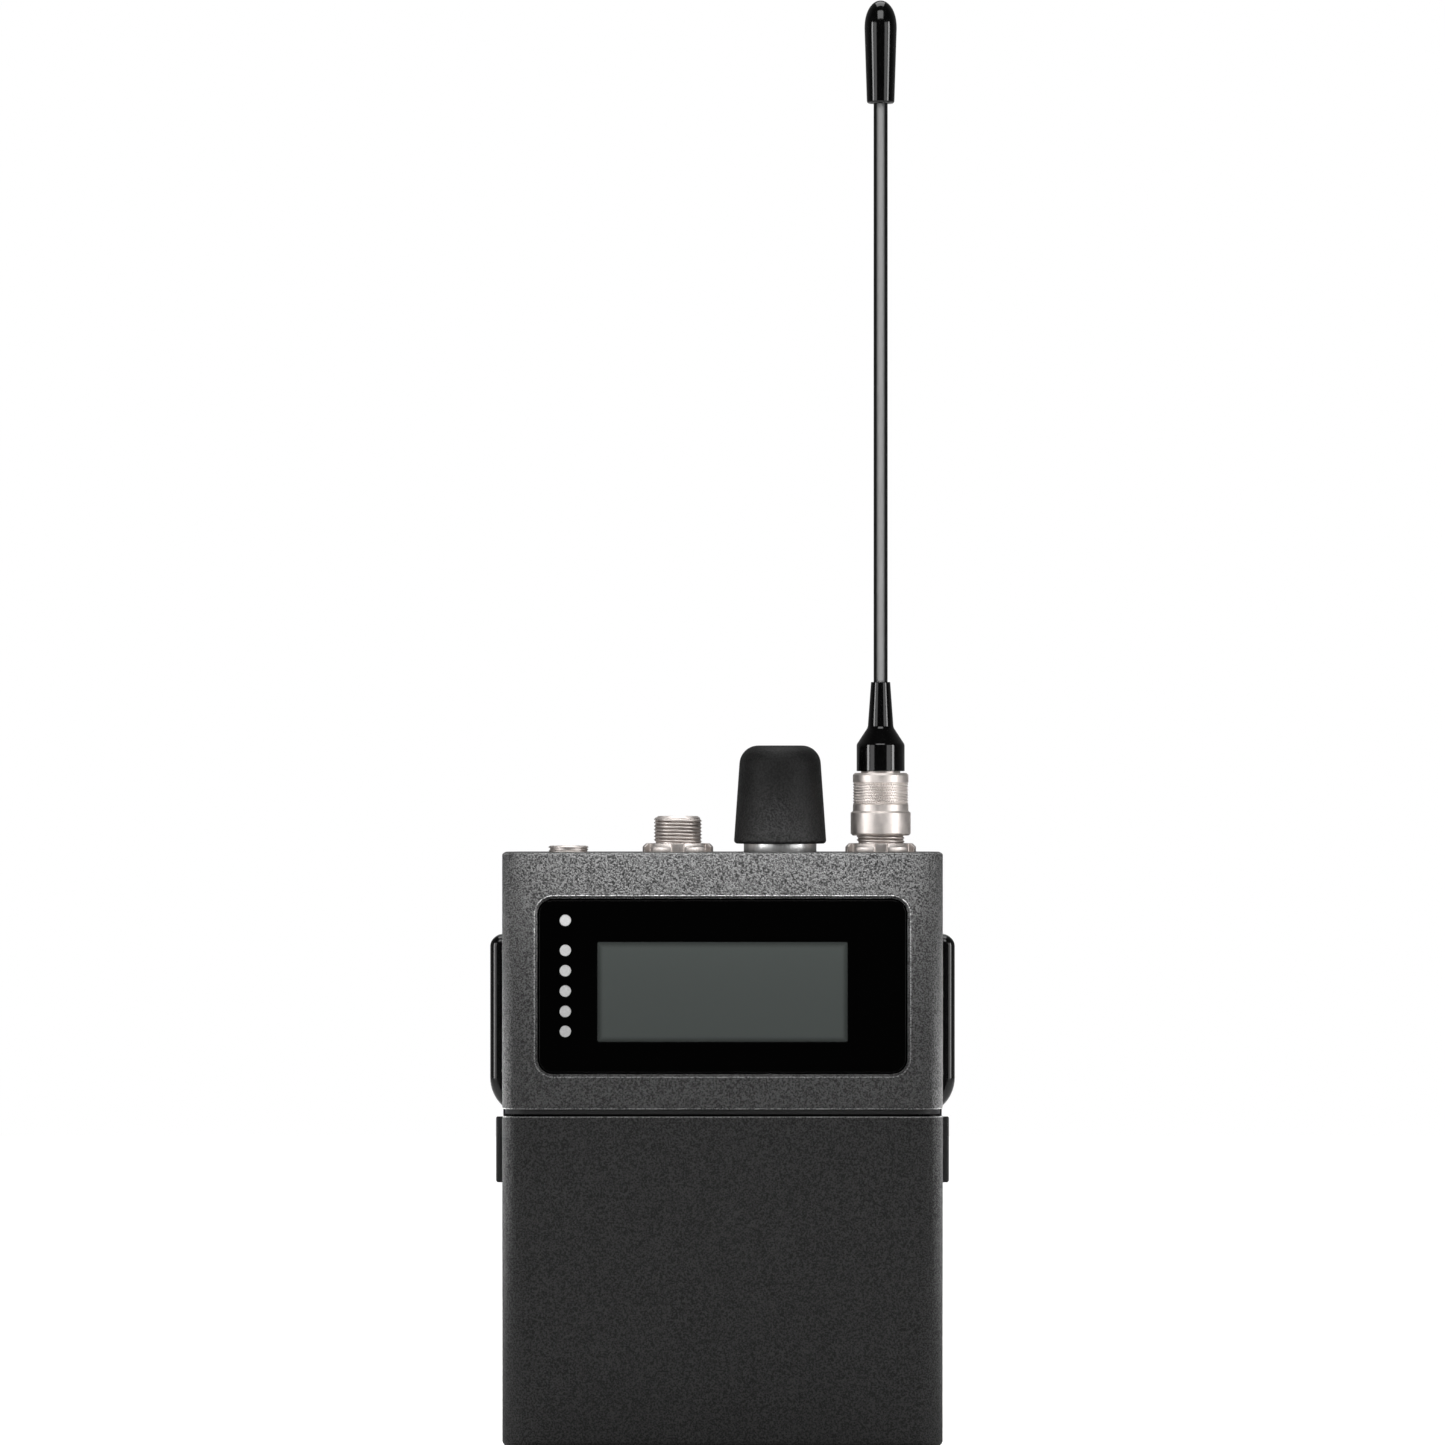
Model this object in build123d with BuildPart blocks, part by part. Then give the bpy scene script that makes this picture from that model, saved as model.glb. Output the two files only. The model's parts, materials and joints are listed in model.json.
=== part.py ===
from build123d import *
import os

# Wireless bodypack transmitter.
# Millimetres. X to the right, the front faces -Y, Z up.
# The origin is the middle of the flat underside of the case.

# ---- Case ----
case_width = 64.0
case_depth = 20.0
panel_height = 86.2
case_corner_radius = 3.5
top_edge_radius = 0.4
bottom_edge_radius = 0.9
split_y = 2.0
seam_gap = 0.1
shell_wall = 1.8
top_plate = 2.0
rear_wall = 1.5
floor_wall = 1.5
moving_gap = 0.3
fit_gap = 0.1

# ---- Groove between the upper shell and the battery door ----
shell_bottom = 49.0
door_top = 48.0
band_inset = 0.45
edge_break = 0.25

# ---- Window and display ----
window_width = 53.6
window_height = 25.35
window_centre_z = 66.83
window_radius = 2.2
window_recess = 0.4
window_thickness = 1.0
window_gap = 0.05
bezel_width = 0.6
ledge_width = 1.5
lcd_width = 36.2
lcd_height = 14.4
lcd_centre_z = 66.03
lcd_frame_margin = 1.9
lcd_thickness = 2.5
light_x = -22.8
light_heights = (76.4, 72.05, 69.1, 66.15, 63.2, 60.3)
light_diameter = 1.6
flush_drop = 0.03

# ---- Battery door ----
door_wall = 1.4
hinge_inset = 2.6
hinge_bar_depth = 4.6
hinge_bar_height = 4.1
hinge_skin = 1.0
hinge_pocket_gap = 0.35
hinge_pin_diameter = 1.2
hinge_pin_length = 8.0
hinge_pin_clearance = 0.03
press_gap = 0.01
ear_x = 24.0
ear_width = 5.0
ear_radius = 1.3
ear_arm_length = 6.4
ear_arm_top = 0.4

# ---- Door latches ----
latch_proud = 0.9
latch_bottom = 38.3
latch_top = 47.9
latch_front_y = -6.0
latch_rear_y = 0.8
latch_edge_radius = 0.35
latch_flange = 0.9
latch_flange_overlap = 0.9
latch_tab_reach = 4.4
latch_tab_bottom = 41.0
latch_tab_top = 45.0
latch_spring_wire = 0.3
latch_spring_radius = 1.3
latch_spring_turns = 4
latch_spring_length = 2.0
latch_spring_y = -4.0
latch_rib_thickness = 1.2
latch_rib_depth = 6.6
latch_rib_height = 7.0
grip_groove_count = 4
grip_groove_pitch = 1.2
grip_groove_width = 0.35
grip_groove_depth = 0.2
grip_groove_length = 6.4

# ---- Battery and its bay ----
battery_width = 53.0
battery_depth = 13.3
battery_height = 32.0
battery_bottom = 6.4
battery_inset = 2.1
battery_edge_radius = 1.0
pad_width = 30.0
pad_height = 16.0
pad_thickness = 0.6
bay_wall = 1.0
bay_wall_inset = 3.6
bay_floor_z = 5.0
bay_floor_front_y = -3.4
bay_rib_x = 28.0
bay_rib_thickness = 1.2
bay_rib_top = 36.0
bay_ceiling = 1.5
bay_ceiling_z = 48.3
button_wall_y = -3.0
button_wall_width = 48.0
button_wall_bottom = 39.6
contact_count = 3
contact_pitch = 6.0
contact_width = 2.0
contact_sheet = 0.3
contact_block_width = 20.0
contact_block_bottom = 42.0
contact_block_front_y = -1.8
contact_block_depth = 6.0

# ---- Power button ----
button_x = -15.0
button_z = 44.0
button_diameter = 4.0
button_proud = 1.0
button_travel = 0.4
switch_size = 4.6
switch_depth = 2.4

# ---- Boards ----
board_thickness = 1.2
board_width = 57.0
board_bottom = 50.8
board_top = 70.8
board_front_y = 0.2
display_board_thickness = 1.0
display_board_width = 52.0
display_board_bottom = 55.5
display_board_top = 72.0
display_board_tab_top = 78.6
display_board_tab_width = 6.5
display_gap = 0.1
connector_width = 12.0
connector_height = 2.6
shield_width = 28.0
shield_height = 16.5
shield_depth = 3.2
shield_sheet = 0.3
shield_x = 8.0
shield_z = 61.0
board_boss_radius = 2.2
board_boss_places = ((-25.5, 54.0), (25.5, 54.0), (-25.5, 67.0))

# ---- Screws ----
screw_diameter = 1.6
screw_head_diameter = 3.0
screw_head_angle = 90
encoder_post_gap = 0.3
receptacle_post_gap = 0.25
rear_screw_z_below_panel = 6.2
rear_post_front_y = -2.0
frame_screw_x = 22.0
frame_screw_z = 43.5
frame_boss_radius = 2.2
frame_boss_front_y = 3.0
screw_length = 4.4

# ---- Headphone socket ----
jack_x = -22.45
jack_thread_diameter = 5.8
jack_bore_diameter = 3.6
jack_proud = 0.95
jack_bore_length = 14.0
jack_sleeve_bottom_below_panel = 10.2
jack_body_width = 7.0
jack_body_depth = 6.4
jack_body_bottom_below_panel = 14.7

# ---- Threaded microphone and antenna receptacles ----
mic_x = -6.5
antenna_x = 23.05
thread_diameter = 7.0
thread_depth = 0.35
panel_thread_step = 0.3
thread_relief = 0.35
thread_chamfer = 0.3
receptacle_bottom_below_panel = 7.7
receptacle_flange_width = 0.8
receptacle_flange_height = 1.4
mic_top_above_panel = 5.3
mic_bore_diameter = 5.2
mic_insulator_top_above_panel = 1.8
mic_pin_count = 3
mic_pin_circle = 2.4
mic_pin_diameter = 0.6
mic_pin_top_above_panel = 4.4
pin_tail_bottom_below_panel = 9.7
ring_nut_width = 1.35
ring_nut_height = 1.3
ring_nut_chamfer = 0.5
ring_nut_slots = 6
ring_nut_slot_width = 1.85
ring_nut_slot_depth = 1.0
antenna_receptacle_top_above_panel = 5.7
antenna_bore_diameter = 5.0
antenna_insulator_top_above_panel = 0.8
antenna_contact_diameter = 1.8
antenna_contact_top_above_panel = 3.4
antenna_pin_diameter = 0.9
running_gap = 0.05

# ---- Antenna ----
nut_bottom_above_panel = 2.43
nut_step_above_panel = 6.0
nut_top_above_panel = 11.55
nut_lower_wall = 0.825
nut_upper_wall = 0.5
nut_edge = 0.3
barrel_diameter = 5.7
barrel_nose_diameter = 4.8
barrel_nose_bottom_above_panel = 1.8
barrel_flange_diameter = 6.6
barrel_flange_height = 0.7
barrel_neck_diameter = 4.4
barrel_neck_top_above_panel = 14.8
boot_bottom_above_panel = 11.8
boot_diameter = 7.0
boot_shoulder_above_panel = 15.7
boot_waist_above_panel = 18.2
boot_waist_diameter = 3.75
boot_top_above_panel = 24.8
boot_top_diameter = 2.8
rod_diameter = 2.04
core_diameter = 1.0
cap_bottom_above_panel = 109.1
cap_bottom_diameter = 4.0
cap_bottom_radius = 0.7
cap_widest_above_panel = 120.1
cap_widest_diameter = 4.7
nose_fullness = 0.6
overall_height_above_panel = 124.15

# ---- Push-and-turn knob ----
knob_x = 8.4
knob_base_diameter = 13.5
knob_shoulder_diameter = 11.9
knob_bottom_above_panel = 1.25
knob_shoulder_above_panel = 12.7
knob_top_above_panel = 15.55
knob_skirt_diameter = 11.2
knob_skirt_depth = 3.0
knob_edge = 0.5
knob_travel = 0.5
shaft_diameter = 6.0
shaft_bottom_below_panel = 9.6
shaft_top_above_panel = 11.8
collar_diameter = 10.6
collar_top_above_panel = 1.8
encoder_thread_diameter = 7.0
encoder_body_size = 11.0
encoder_body_bottom_below_panel = 13.0
encoder_body_top_below_panel = 6.2
plunger_diameter = 2.4
plunger_bottom_below_panel = 11.6

# ---- Belt clip ----
arm_proud = 1.85
arm_gap = 0.1
arm_bottom = 49.2
arm_bottom_drop = 1.4
arm_top = 74.1
arm_front_y = -1.5
arm_top_radius = 1.6
arm_bottom_radius = 5.5
arm_edge_radius = 1.2
nub_diameter = 3.0
nub_length = 1.2
nub_y = 6.0
nub_z = 66.0
tongue_width = 20.0
tongue_thickness = 1.4
belt_gap = 5.4
tongue_tip_gap = 0.7
tongue_bend_z = 31.0
tongue_tip_z = 24.0
tongue_end_z = 20.0
tongue_flare = 2.2
tongue_bend_radius = 2.5
tongue_lever_top = 80.0
clip_pin_z = 69.5
clip_pin_diameter = 1.6
clip_pin_gap = 0.05
clip_barrel_radius = 1.9
lug_thickness = 2.0
lug_radius = 2.2
clip_spring_wire = 0.5
clip_spring_turns = 5
clip_spring_window = 7.0

# ---- Derived places ----
half_width = case_width / 2
half_depth = case_depth / 2
front_y = -half_depth
back_y = half_depth
hinge_y = front_y + hinge_inset
hinge_z = hinge_inset
door_swing = (2 ** 0.5) * (hinge_inset - bottom_edge_radius) + bottom_edge_radius
hinge_pocket_radius = door_swing + hinge_pocket_gap
window_front_y = front_y + window_recess
window_back_y = window_front_y + window_thickness
shell_inner_y = front_y + shell_wall
plate_underside = panel_height - top_plate
rear_top = plate_underside - seam_gap
jack_sleeve_bottom = panel_height - jack_sleeve_bottom_below_panel
jack_body_bottom = panel_height - jack_body_bottom_below_panel
receptacle_bottom = panel_height - receptacle_bottom_below_panel
mic_top = panel_height + mic_top_above_panel
mic_insulator_top = panel_height + mic_insulator_top_above_panel
mic_pin_top = panel_height + mic_pin_top_above_panel
pin_tail_bottom = panel_height - pin_tail_bottom_below_panel
antenna_receptacle_top = panel_height + antenna_receptacle_top_above_panel
antenna_insulator_top = panel_height + antenna_insulator_top_above_panel
antenna_contact_top = panel_height + antenna_contact_top_above_panel
nut_bottom = panel_height + nut_bottom_above_panel
nut_step = panel_height + nut_step_above_panel
nut_top = panel_height + nut_top_above_panel
barrel_nose_bottom = panel_height + barrel_nose_bottom_above_panel
barrel_neck_top = panel_height + barrel_neck_top_above_panel
boot_bottom = panel_height + boot_bottom_above_panel
boot_shoulder = panel_height + boot_shoulder_above_panel
boot_waist = panel_height + boot_waist_above_panel
boot_top = panel_height + boot_top_above_panel
cap_bottom = panel_height + cap_bottom_above_panel
cap_widest = panel_height + cap_widest_above_panel
overall_height = panel_height + overall_height_above_panel
knob_bottom = panel_height + knob_bottom_above_panel
knob_shoulder = panel_height + knob_shoulder_above_panel
knob_top = panel_height + knob_top_above_panel
shaft_bottom = panel_height - shaft_bottom_below_panel
shaft_top = panel_height + shaft_top_above_panel
collar_top = panel_height + collar_top_above_panel
encoder_body_bottom = panel_height - encoder_body_bottom_below_panel
encoder_body_top = panel_height - encoder_body_top_below_panel
plunger_bottom = panel_height - plunger_bottom_below_panel
rear_screw_z = panel_height - rear_screw_z_below_panel
thread_root_diameter = thread_diameter - 2 * thread_depth
panel_thread_diameter = thread_diameter + 2 * panel_thread_step
receptacle_flange_diameter = panel_thread_diameter + 2 * receptacle_flange_width
ring_nut_diameter = panel_thread_diameter + 2 * ring_nut_width
rear_post_left = knob_x + encoder_body_size / 2 + encoder_post_gap
rear_post_right = antenna_x - receptacle_flange_diameter / 2 - receptacle_post_gap
rear_post_radius = (rear_post_right - rear_post_left) / 2
rear_screw_x = (rear_post_left + rear_post_right) / 2
thread_hole_diameter = panel_thread_diameter + fit_gap
nut_bore_diameter = thread_diameter + 2 * running_gap
nut_lower_diameter = nut_bore_diameter + 2 * nut_lower_wall
nut_upper_diameter = nut_bore_diameter + 2 * nut_upper_wall
battery_front_y = front_y + battery_inset
bay_wall_y = back_y - bay_wall_inset
cheek_inner_x = half_width - door_wall
latch_flange_x = cheek_inner_x - moving_gap
latch_inner_x = latch_flange_x - latch_flange
latch_rib_x = latch_inner_x - latch_spring_length - 2 * press_gap
latch_mid_z = (latch_bottom + latch_top) / 2
lcd_back_y = window_back_y + display_gap + lcd_thickness
display_board_y = lcd_back_y + display_gap
tongue_inner_y = back_y + belt_gap
tongue_mid_y = tongue_inner_y + tongue_thickness / 2
clip_pin_y = tongue_mid_y
rear_inner_y = back_y - rear_wall
rear_inner_x = half_width - rear_wall
barrel_flange_bottom = antenna_receptacle_top + fit_gap
barrel_flange_top = barrel_flange_bottom + barrel_flange_height

os.makedirs("parts", exist_ok=True)


def save(built, name):
    """Label one finished piece and write it under its own name."""
    built.part.label = name
    export_step(built.part, f"parts/{name}.step")


def block(x_span, y_span, z_span, mode=Mode.ADD):
    """Add or cut a box given by its low and high limits on each axis."""
    centre = [(low + high) / 2 for low, high in (x_span, y_span, z_span)]
    with Locations(tuple(centre)):
        Box(x_span[1] - x_span[0], y_span[1] - y_span[0], z_span[1] - z_span[0], mode=mode)


def upright(x, y, low, high, diameter, mode=Mode.ADD):
    """Add or cut a vertical cylinder between two heights."""
    with Locations((x, y, low)):
        Cylinder(diameter / 2, high - low, align=(Align.CENTER, Align.CENTER, Align.MIN), mode=mode)


def rod_along_x(x_span, y, z, diameter, mode=Mode.ADD):
    """Add or cut a cylinder along X between two places."""
    with Locations(Location(((x_span[0] + x_span[1]) / 2, y, z), (0, 90, 0))):
        Cylinder(diameter / 2, x_span[1] - x_span[0], mode=mode)


def rod_along_y(x, y_span, z, diameter, mode=Mode.ADD):
    """Add or cut a cylinder along Y between two places."""
    with Locations(Location((x, (y_span[0] + y_span[1]) / 2, z), (90, 0, 0))):
        Cylinder(diameter / 2, y_span[1] - y_span[0], mode=mode)


def case_prism(low, high, inset=0.0, mode=Mode.ADD):
    """Add or cut the case's rounded outline, moved inwards by inset, between two heights."""
    with BuildSketch(Plane.XY.offset(low)) as outline:
        RectangleRounded(
            case_width - 2 * inset,
            case_depth - 2 * inset,
            case_corner_radius - inset,
        )
    extrude(outline.sketch, amount=high - low, mode=mode)


def front_panel(width, height, centre_z, radius, near_y, far_y, mode=Mode.ADD):
    """Add or cut a rounded rectangle that faces the front, from near_y back to far_y."""
    with BuildSketch(Plane.XZ.offset(-near_y)) as panel:
        with Locations((0, centre_z)):
            RectangleRounded(width, height, radius)
    extrude(panel.sketch, amount=near_y - far_y, mode=mode)


def turned(profile, x):
    """Revolve a list of (radius, height) corners about the upright line at x."""
    with BuildSketch(Plane.XZ) as half_section:
        with BuildLine():
            Polyline(*[(x + radius, height) for radius, height in profile], close=True)
        make_face()
    revolve(half_section.sketch, axis=Axis((x, 0, 0), (0, 0, 1)))


# ================= Case =================

with BuildPart() as upper_housing:
    case_prism(shell_bottom, panel_height)
    fillet(upper_housing.faces().sort_by(Axis.Z)[-1].edges(), top_edge_radius)
    chamfer(upper_housing.faces().sort_by(Axis.Z)[0].edges(), edge_break)
    case_prism(shell_bottom, plate_underside, shell_wall, mode=Mode.SUBTRACT)
    block((-case_width, case_width), (split_y, case_depth), (0, plate_underside), Mode.SUBTRACT)
    front_panel(
        window_width + 2 * window_gap,
        window_height + 2 * window_gap,
        window_centre_z,
        window_radius + window_gap,
        front_y,
        window_back_y,
        Mode.SUBTRACT,
    )
    rim_outlines = []
    for rim_y, rim_width in ((front_y, bezel_width), (window_front_y, window_gap)):
        with BuildSketch(Plane.XZ.offset(-rim_y)) as rim_outline:
            with Locations((0, window_centre_z)):
                RectangleRounded(
                    window_width + 2 * rim_width,
                    window_height + 2 * rim_width,
                    window_radius + rim_width,
                )
        rim_outlines.append(rim_outline.sketch)
    loft(rim_outlines, mode=Mode.SUBTRACT)
    front_panel(
        window_width - 2 * ledge_width,
        window_height - 2 * ledge_width,
        window_centre_z,
        window_radius,
        window_back_y,
        shell_inner_y + edge_break,
        Mode.SUBTRACT,
    )
    for post_x in (-rear_screw_x, rear_screw_x):
        rod_along_y(post_x, (rear_post_front_y, rear_inner_y - fit_gap), rear_screw_z, 2 * rear_post_radius)
        block(
            (post_x - rear_post_radius, post_x + rear_post_radius),
            (rear_post_front_y, rear_inner_y - fit_gap),
            (rear_screw_z, plate_underside + edge_break),
        )
        rod_along_y(
            post_x,
            (rear_inner_y - screw_length, rear_inner_y),
            rear_screw_z,
            screw_diameter + 2 * press_gap,
            Mode.SUBTRACT,
        )
    for hole_x in (mic_x, antenna_x):
        upright(hole_x, 0, plate_underside - 1, panel_height + 1, thread_hole_diameter, Mode.SUBTRACT)
    bushing_hole_diameter = encoder_thread_diameter + fit_gap
    upright(knob_x, 0, plate_underside - 1, panel_height + 1, bushing_hole_diameter, Mode.SUBTRACT)
    upright(jack_x, 0, plate_underside - 1, panel_height + 1, jack_thread_diameter + fit_gap, Mode.SUBTRACT)
save(upper_housing, "upper_housing")

with BuildPart() as rear_housing:
    case_prism(0, rear_top)
    fillet(rear_housing.faces().sort_by(Axis.Z)[0].edges(), bottom_edge_radius)
    case_prism(floor_wall, rear_top, rear_wall, mode=Mode.SUBTRACT)
    block(
        (-case_width, case_width),
        (-case_depth, split_y + seam_gap),
        (shell_bottom, panel_height),
        Mode.SUBTRACT,
    )
    block(
        (-case_width, case_width),
        (-case_depth, split_y + moving_gap),
        (floor_wall, shell_bottom),
        Mode.SUBTRACT,
    )
    for side in (-1, 1):
        cheek_span = sorted((side * (cheek_inner_x - moving_gap), side * case_width))
        block(cheek_span, (-case_depth, split_y + moving_gap), (-1, floor_wall), Mode.SUBTRACT)
    rod_along_x((-case_width, case_width), hinge_y, hinge_z, 2 * hinge_pocket_radius, Mode.SUBTRACT)
    block((-case_width, case_width), (-case_depth, hinge_y), (-1, floor_wall), Mode.SUBTRACT)
    for ear_place in (-ear_x, ear_x):
        ear_span = (ear_place - ear_width / 2, ear_place + ear_width / 2)
        rod_along_x(ear_span, hinge_y, hinge_z, 2 * ear_radius)
        block(
            ear_span,
            (hinge_y, hinge_y + ear_arm_length),
            (hinge_z - ear_radius, hinge_z + ear_arm_top),
        )
        block(
            ear_span,
            (hinge_y + hinge_pocket_radius, hinge_y + ear_arm_length),
            (floor_wall / 2, hinge_z + ear_arm_top),
        )
        rod_along_x(ear_span, hinge_y, hinge_z, hinge_pin_diameter + 2 * press_gap, Mode.SUBTRACT)
    for boss_x, boss_z in board_boss_places:
        rod_along_y(
            boss_x,
            (board_front_y + board_thickness, rear_inner_y + edge_break),
            boss_z,
            2 * board_boss_radius,
        )
        rod_along_y(
            boss_x,
            (board_front_y, board_front_y + screw_length),
            boss_z,
            screw_diameter + 2 * press_gap,
            Mode.SUBTRACT,
        )
    screw_places = [(-rear_screw_x, rear_screw_z), (rear_screw_x, rear_screw_z)]
    screw_places += [(-frame_screw_x, frame_screw_z), (frame_screw_x, frame_screw_z)]
    for screw_x, screw_z in screw_places:
        with Locations(Location((screw_x, back_y, screw_z), (-90, 0, 0))):
            CounterSinkHole(
                screw_diameter / 2 + fit_gap,
                screw_head_diameter / 2 + fit_gap,
                depth=2 * rear_wall,
                counter_sink_angle=screw_head_angle,
            )
    for side in (-1, 1):
        nub_span = sorted((side * (rear_inner_x - 1), side * (half_width + 1)))
        rod_along_x(nub_span, nub_y, nub_z, nub_diameter + 2 * running_gap, Mode.SUBTRACT)
save(rear_housing, "rear_housing")

with BuildPart() as inner_frame:
    case_prism(bay_ceiling_z, shell_bottom - press_gap, band_inset)
    block(
        (-case_width, case_width),
        (split_y, case_depth),
        (bay_ceiling_z - 1, shell_bottom + 1),
        Mode.SUBTRACT,
    )
    ceiling_half = half_width - shell_wall - case_corner_radius / 2
    block(
        (-ceiling_half, ceiling_half),
        (shell_inner_y + fit_gap, rear_inner_y - fit_gap),
        (bay_ceiling_z, bay_ceiling_z + bay_ceiling),
    )
    bay_half = rear_inner_x - fit_gap - case_corner_radius / 2
    block((-bay_half, bay_half), (bay_wall_y, bay_wall_y + bay_wall), (bay_floor_z, bay_ceiling_z + bay_wall))
    block((-bay_half, bay_half), (bay_floor_front_y, bay_wall_y), (bay_floor_z, bay_floor_z + bay_wall))
    for side in (-1, 1):
        rib_span = sorted((side * bay_rib_x, side * (bay_rib_x + bay_rib_thickness)))
        block(rib_span, (bay_floor_front_y, bay_wall_y), (bay_floor_z, bay_rib_top))
    block(
        (-button_wall_width / 2, button_wall_width / 2),
        (button_wall_y, button_wall_y + bay_wall),
        (button_wall_bottom, bay_ceiling_z + bay_wall),
    )
    for boss_x in (-frame_screw_x, frame_screw_x):
        boss_span = (frame_boss_front_y, rear_inner_y - fit_gap)
        rod_along_y(boss_x, boss_span, frame_screw_z, 2 * frame_boss_radius)
        rod_along_y(
            boss_x,
            (rear_inner_y - screw_length, rear_inner_y),
            frame_screw_z,
            screw_diameter + 2 * press_gap,
            Mode.SUBTRACT,
        )
    rod_along_y(
        button_x,
        (button_wall_y - 1, button_wall_y + bay_wall + 1),
        button_z,
        button_diameter + 2 * fit_gap,
        Mode.SUBTRACT,
    )
save(inner_frame, "inner_frame")

with BuildPart() as housing_screws:
    for screw_x, screw_z in screw_places:
        rod_along_y(
            screw_x,
            (rear_inner_y - screw_length + fit_gap, back_y - fit_gap),
            screw_z,
            screw_diameter,
        )
        with Locations(Location((screw_x, back_y - fit_gap, screw_z), (90, 0, 0))):
            Cone(
                screw_head_diameter / 2,
                screw_diameter / 2,
                (screw_head_diameter - screw_diameter) / 2,
                align=(Align.CENTER, Align.CENTER, Align.MIN),
            )
save(housing_screws, "housing_screws")

# ================= Window, display and boards =================

with BuildPart() as display_window:
    front_panel(window_width, window_height, window_centre_z, window_radius, window_front_y, window_back_y)
    chamfer(display_window.faces().sort_by(Axis.Y)[0].edges(), edge_break)
    front_panel(
        lcd_width + 2 * window_gap,
        lcd_height + 2 * window_gap,
        lcd_centre_z,
        edge_break,
        window_front_y - 1,
        window_back_y + 1,
        Mode.SUBTRACT,
    )
    for light_z in light_heights:
        rod_along_y(
            light_x,
            (window_front_y - 1, window_back_y + 1),
            light_z,
            light_diameter + 2 * window_gap,
            Mode.SUBTRACT,
        )
save(display_window, "display_window")

with BuildPart() as display_module:
    front_panel(
        lcd_width + 2 * lcd_frame_margin,
        lcd_height + 2 * lcd_frame_margin,
        lcd_centre_z,
        edge_break,
        window_back_y + display_gap,
        lcd_back_y,
    )
    front_panel(
        lcd_width,
        lcd_height,
        lcd_centre_z,
        edge_break,
        window_front_y + flush_drop,
        window_back_y + 2 * display_gap,
    )
save(display_module, "display_module")

with BuildPart() as light_pipes:
    for light_z in light_heights:
        rod_along_y(
            light_x,
            (window_front_y + flush_drop, display_board_y - fit_gap),
            light_z,
            light_diameter,
        )
save(light_pipes, "light_pipes")

with BuildPart() as display_board:
    board_span = (display_board_y, display_board_y + display_board_thickness)
    board_half = display_board_width / 2
    block((-board_half, board_half), board_span, (display_board_bottom, display_board_top))
    block(
        (-board_half, -board_half + display_board_tab_width),
        board_span,
        (display_board_top, display_board_tab_top),
    )
save(display_board, "display_board")

with BuildPart() as board_connector:
    block(
        (-connector_width / 2, connector_width / 2),
        (display_board_y + display_board_thickness, board_front_y),
        (display_board_bottom + edge_break, display_board_bottom + edge_break + connector_height),
    )
save(board_connector, "board_connector")

with BuildPart() as main_board:
    block(
        (-board_width / 2, board_width / 2),
        (board_front_y, board_front_y + board_thickness),
        (board_bottom, board_top),
    )
    for boss_x, boss_z in board_boss_places:
        rod_along_y(
            boss_x,
            (board_front_y - 1, board_front_y + board_thickness + 1),
            boss_z,
            screw_diameter + 2 * fit_gap,
            Mode.SUBTRACT,
        )
save(main_board, "main_board")

with BuildPart() as board_screws:
    for boss_x, boss_z in board_boss_places:
        rod_along_y(boss_x, (board_front_y - 1, board_front_y), boss_z, screw_head_diameter)
        rod_along_y(boss_x, (board_front_y, board_front_y + screw_length - fit_gap), boss_z, screw_diameter)
save(board_screws, "board_screws")

with BuildPart() as shield_can:
    can_y = board_front_y + board_thickness
    block(
        (shield_x - shield_width / 2, shield_x + shield_width / 2),
        (can_y, can_y + shield_depth),
        (shield_z - shield_height / 2, shield_z + shield_height / 2),
    )
    fillet(shield_can.edges().filter_by(Axis.Y), edge_break)
    offset(amount=-shield_sheet, openings=shield_can.faces().sort_by(Axis.Y)[0])
save(shield_can, "shield_can")

# ================= Battery bay =================

with BuildPart() as battery_pack:
    battery_top = battery_bottom + battery_height
    block(
        (-battery_width / 2, battery_width / 2),
        (battery_front_y, battery_front_y + battery_depth),
        (battery_bottom, battery_top),
    )
    fillet(battery_pack.edges().filter_by(Axis.Z), battery_edge_radius)
save(battery_pack, "battery_pack")

with BuildPart() as contact_block:
    block(
        (-contact_block_width / 2, contact_block_width / 2),
        (contact_block_front_y, contact_block_front_y + contact_block_depth),
        (contact_block_bottom, bay_ceiling_z),
    )
save(contact_block, "contact_block")

with BuildPart() as battery_contacts:
    contact_y = contact_block_front_y + contact_block_depth / 2
    contact_low = battery_top + press_gap
    for index in range(contact_count):
        contact_x = (index - (contact_count - 1) / 2) * contact_pitch
        with BuildSketch(Plane.YZ.offset(contact_x - contact_width / 2)):
            with BuildLine():
                FilletPolyline(
                    (contact_y - 2, contact_block_bottom - contact_sheet / 2),
                    (contact_y + 2, contact_block_bottom - contact_sheet / 2),
                    (contact_y + 2.4, contact_low + 1.6),
                    (contact_y, contact_low + contact_sheet / 2),
                    (contact_y - 2, contact_low + 1.2),
                    radius=0.4,
                )
                offset(amount=contact_sheet / 2, side=Side.BOTH)
            make_face()
        extrude(amount=contact_width)
save(battery_contacts, "battery_contacts")

with BuildPart() as power_switch:
    switch_y = button_wall_y + bay_wall + button_travel + fit_gap + moving_gap
    block(
        (button_x - switch_size / 2, button_x + switch_size / 2),
        (switch_y, switch_y + switch_depth),
        (button_z - switch_size / 2, button_z + switch_size / 2),
    )
save(power_switch, "power_switch")

with BuildPart() as power_button:
    rod_along_y(
        button_x,
        (button_wall_y - button_proud, button_wall_y + bay_wall + moving_gap),
        button_z,
        button_diameter,
    )
    fillet(power_button.faces().sort_by(Axis.Y)[0].edges(), edge_break)
save(power_button, "power_button")

# ================= Battery door =================

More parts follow.
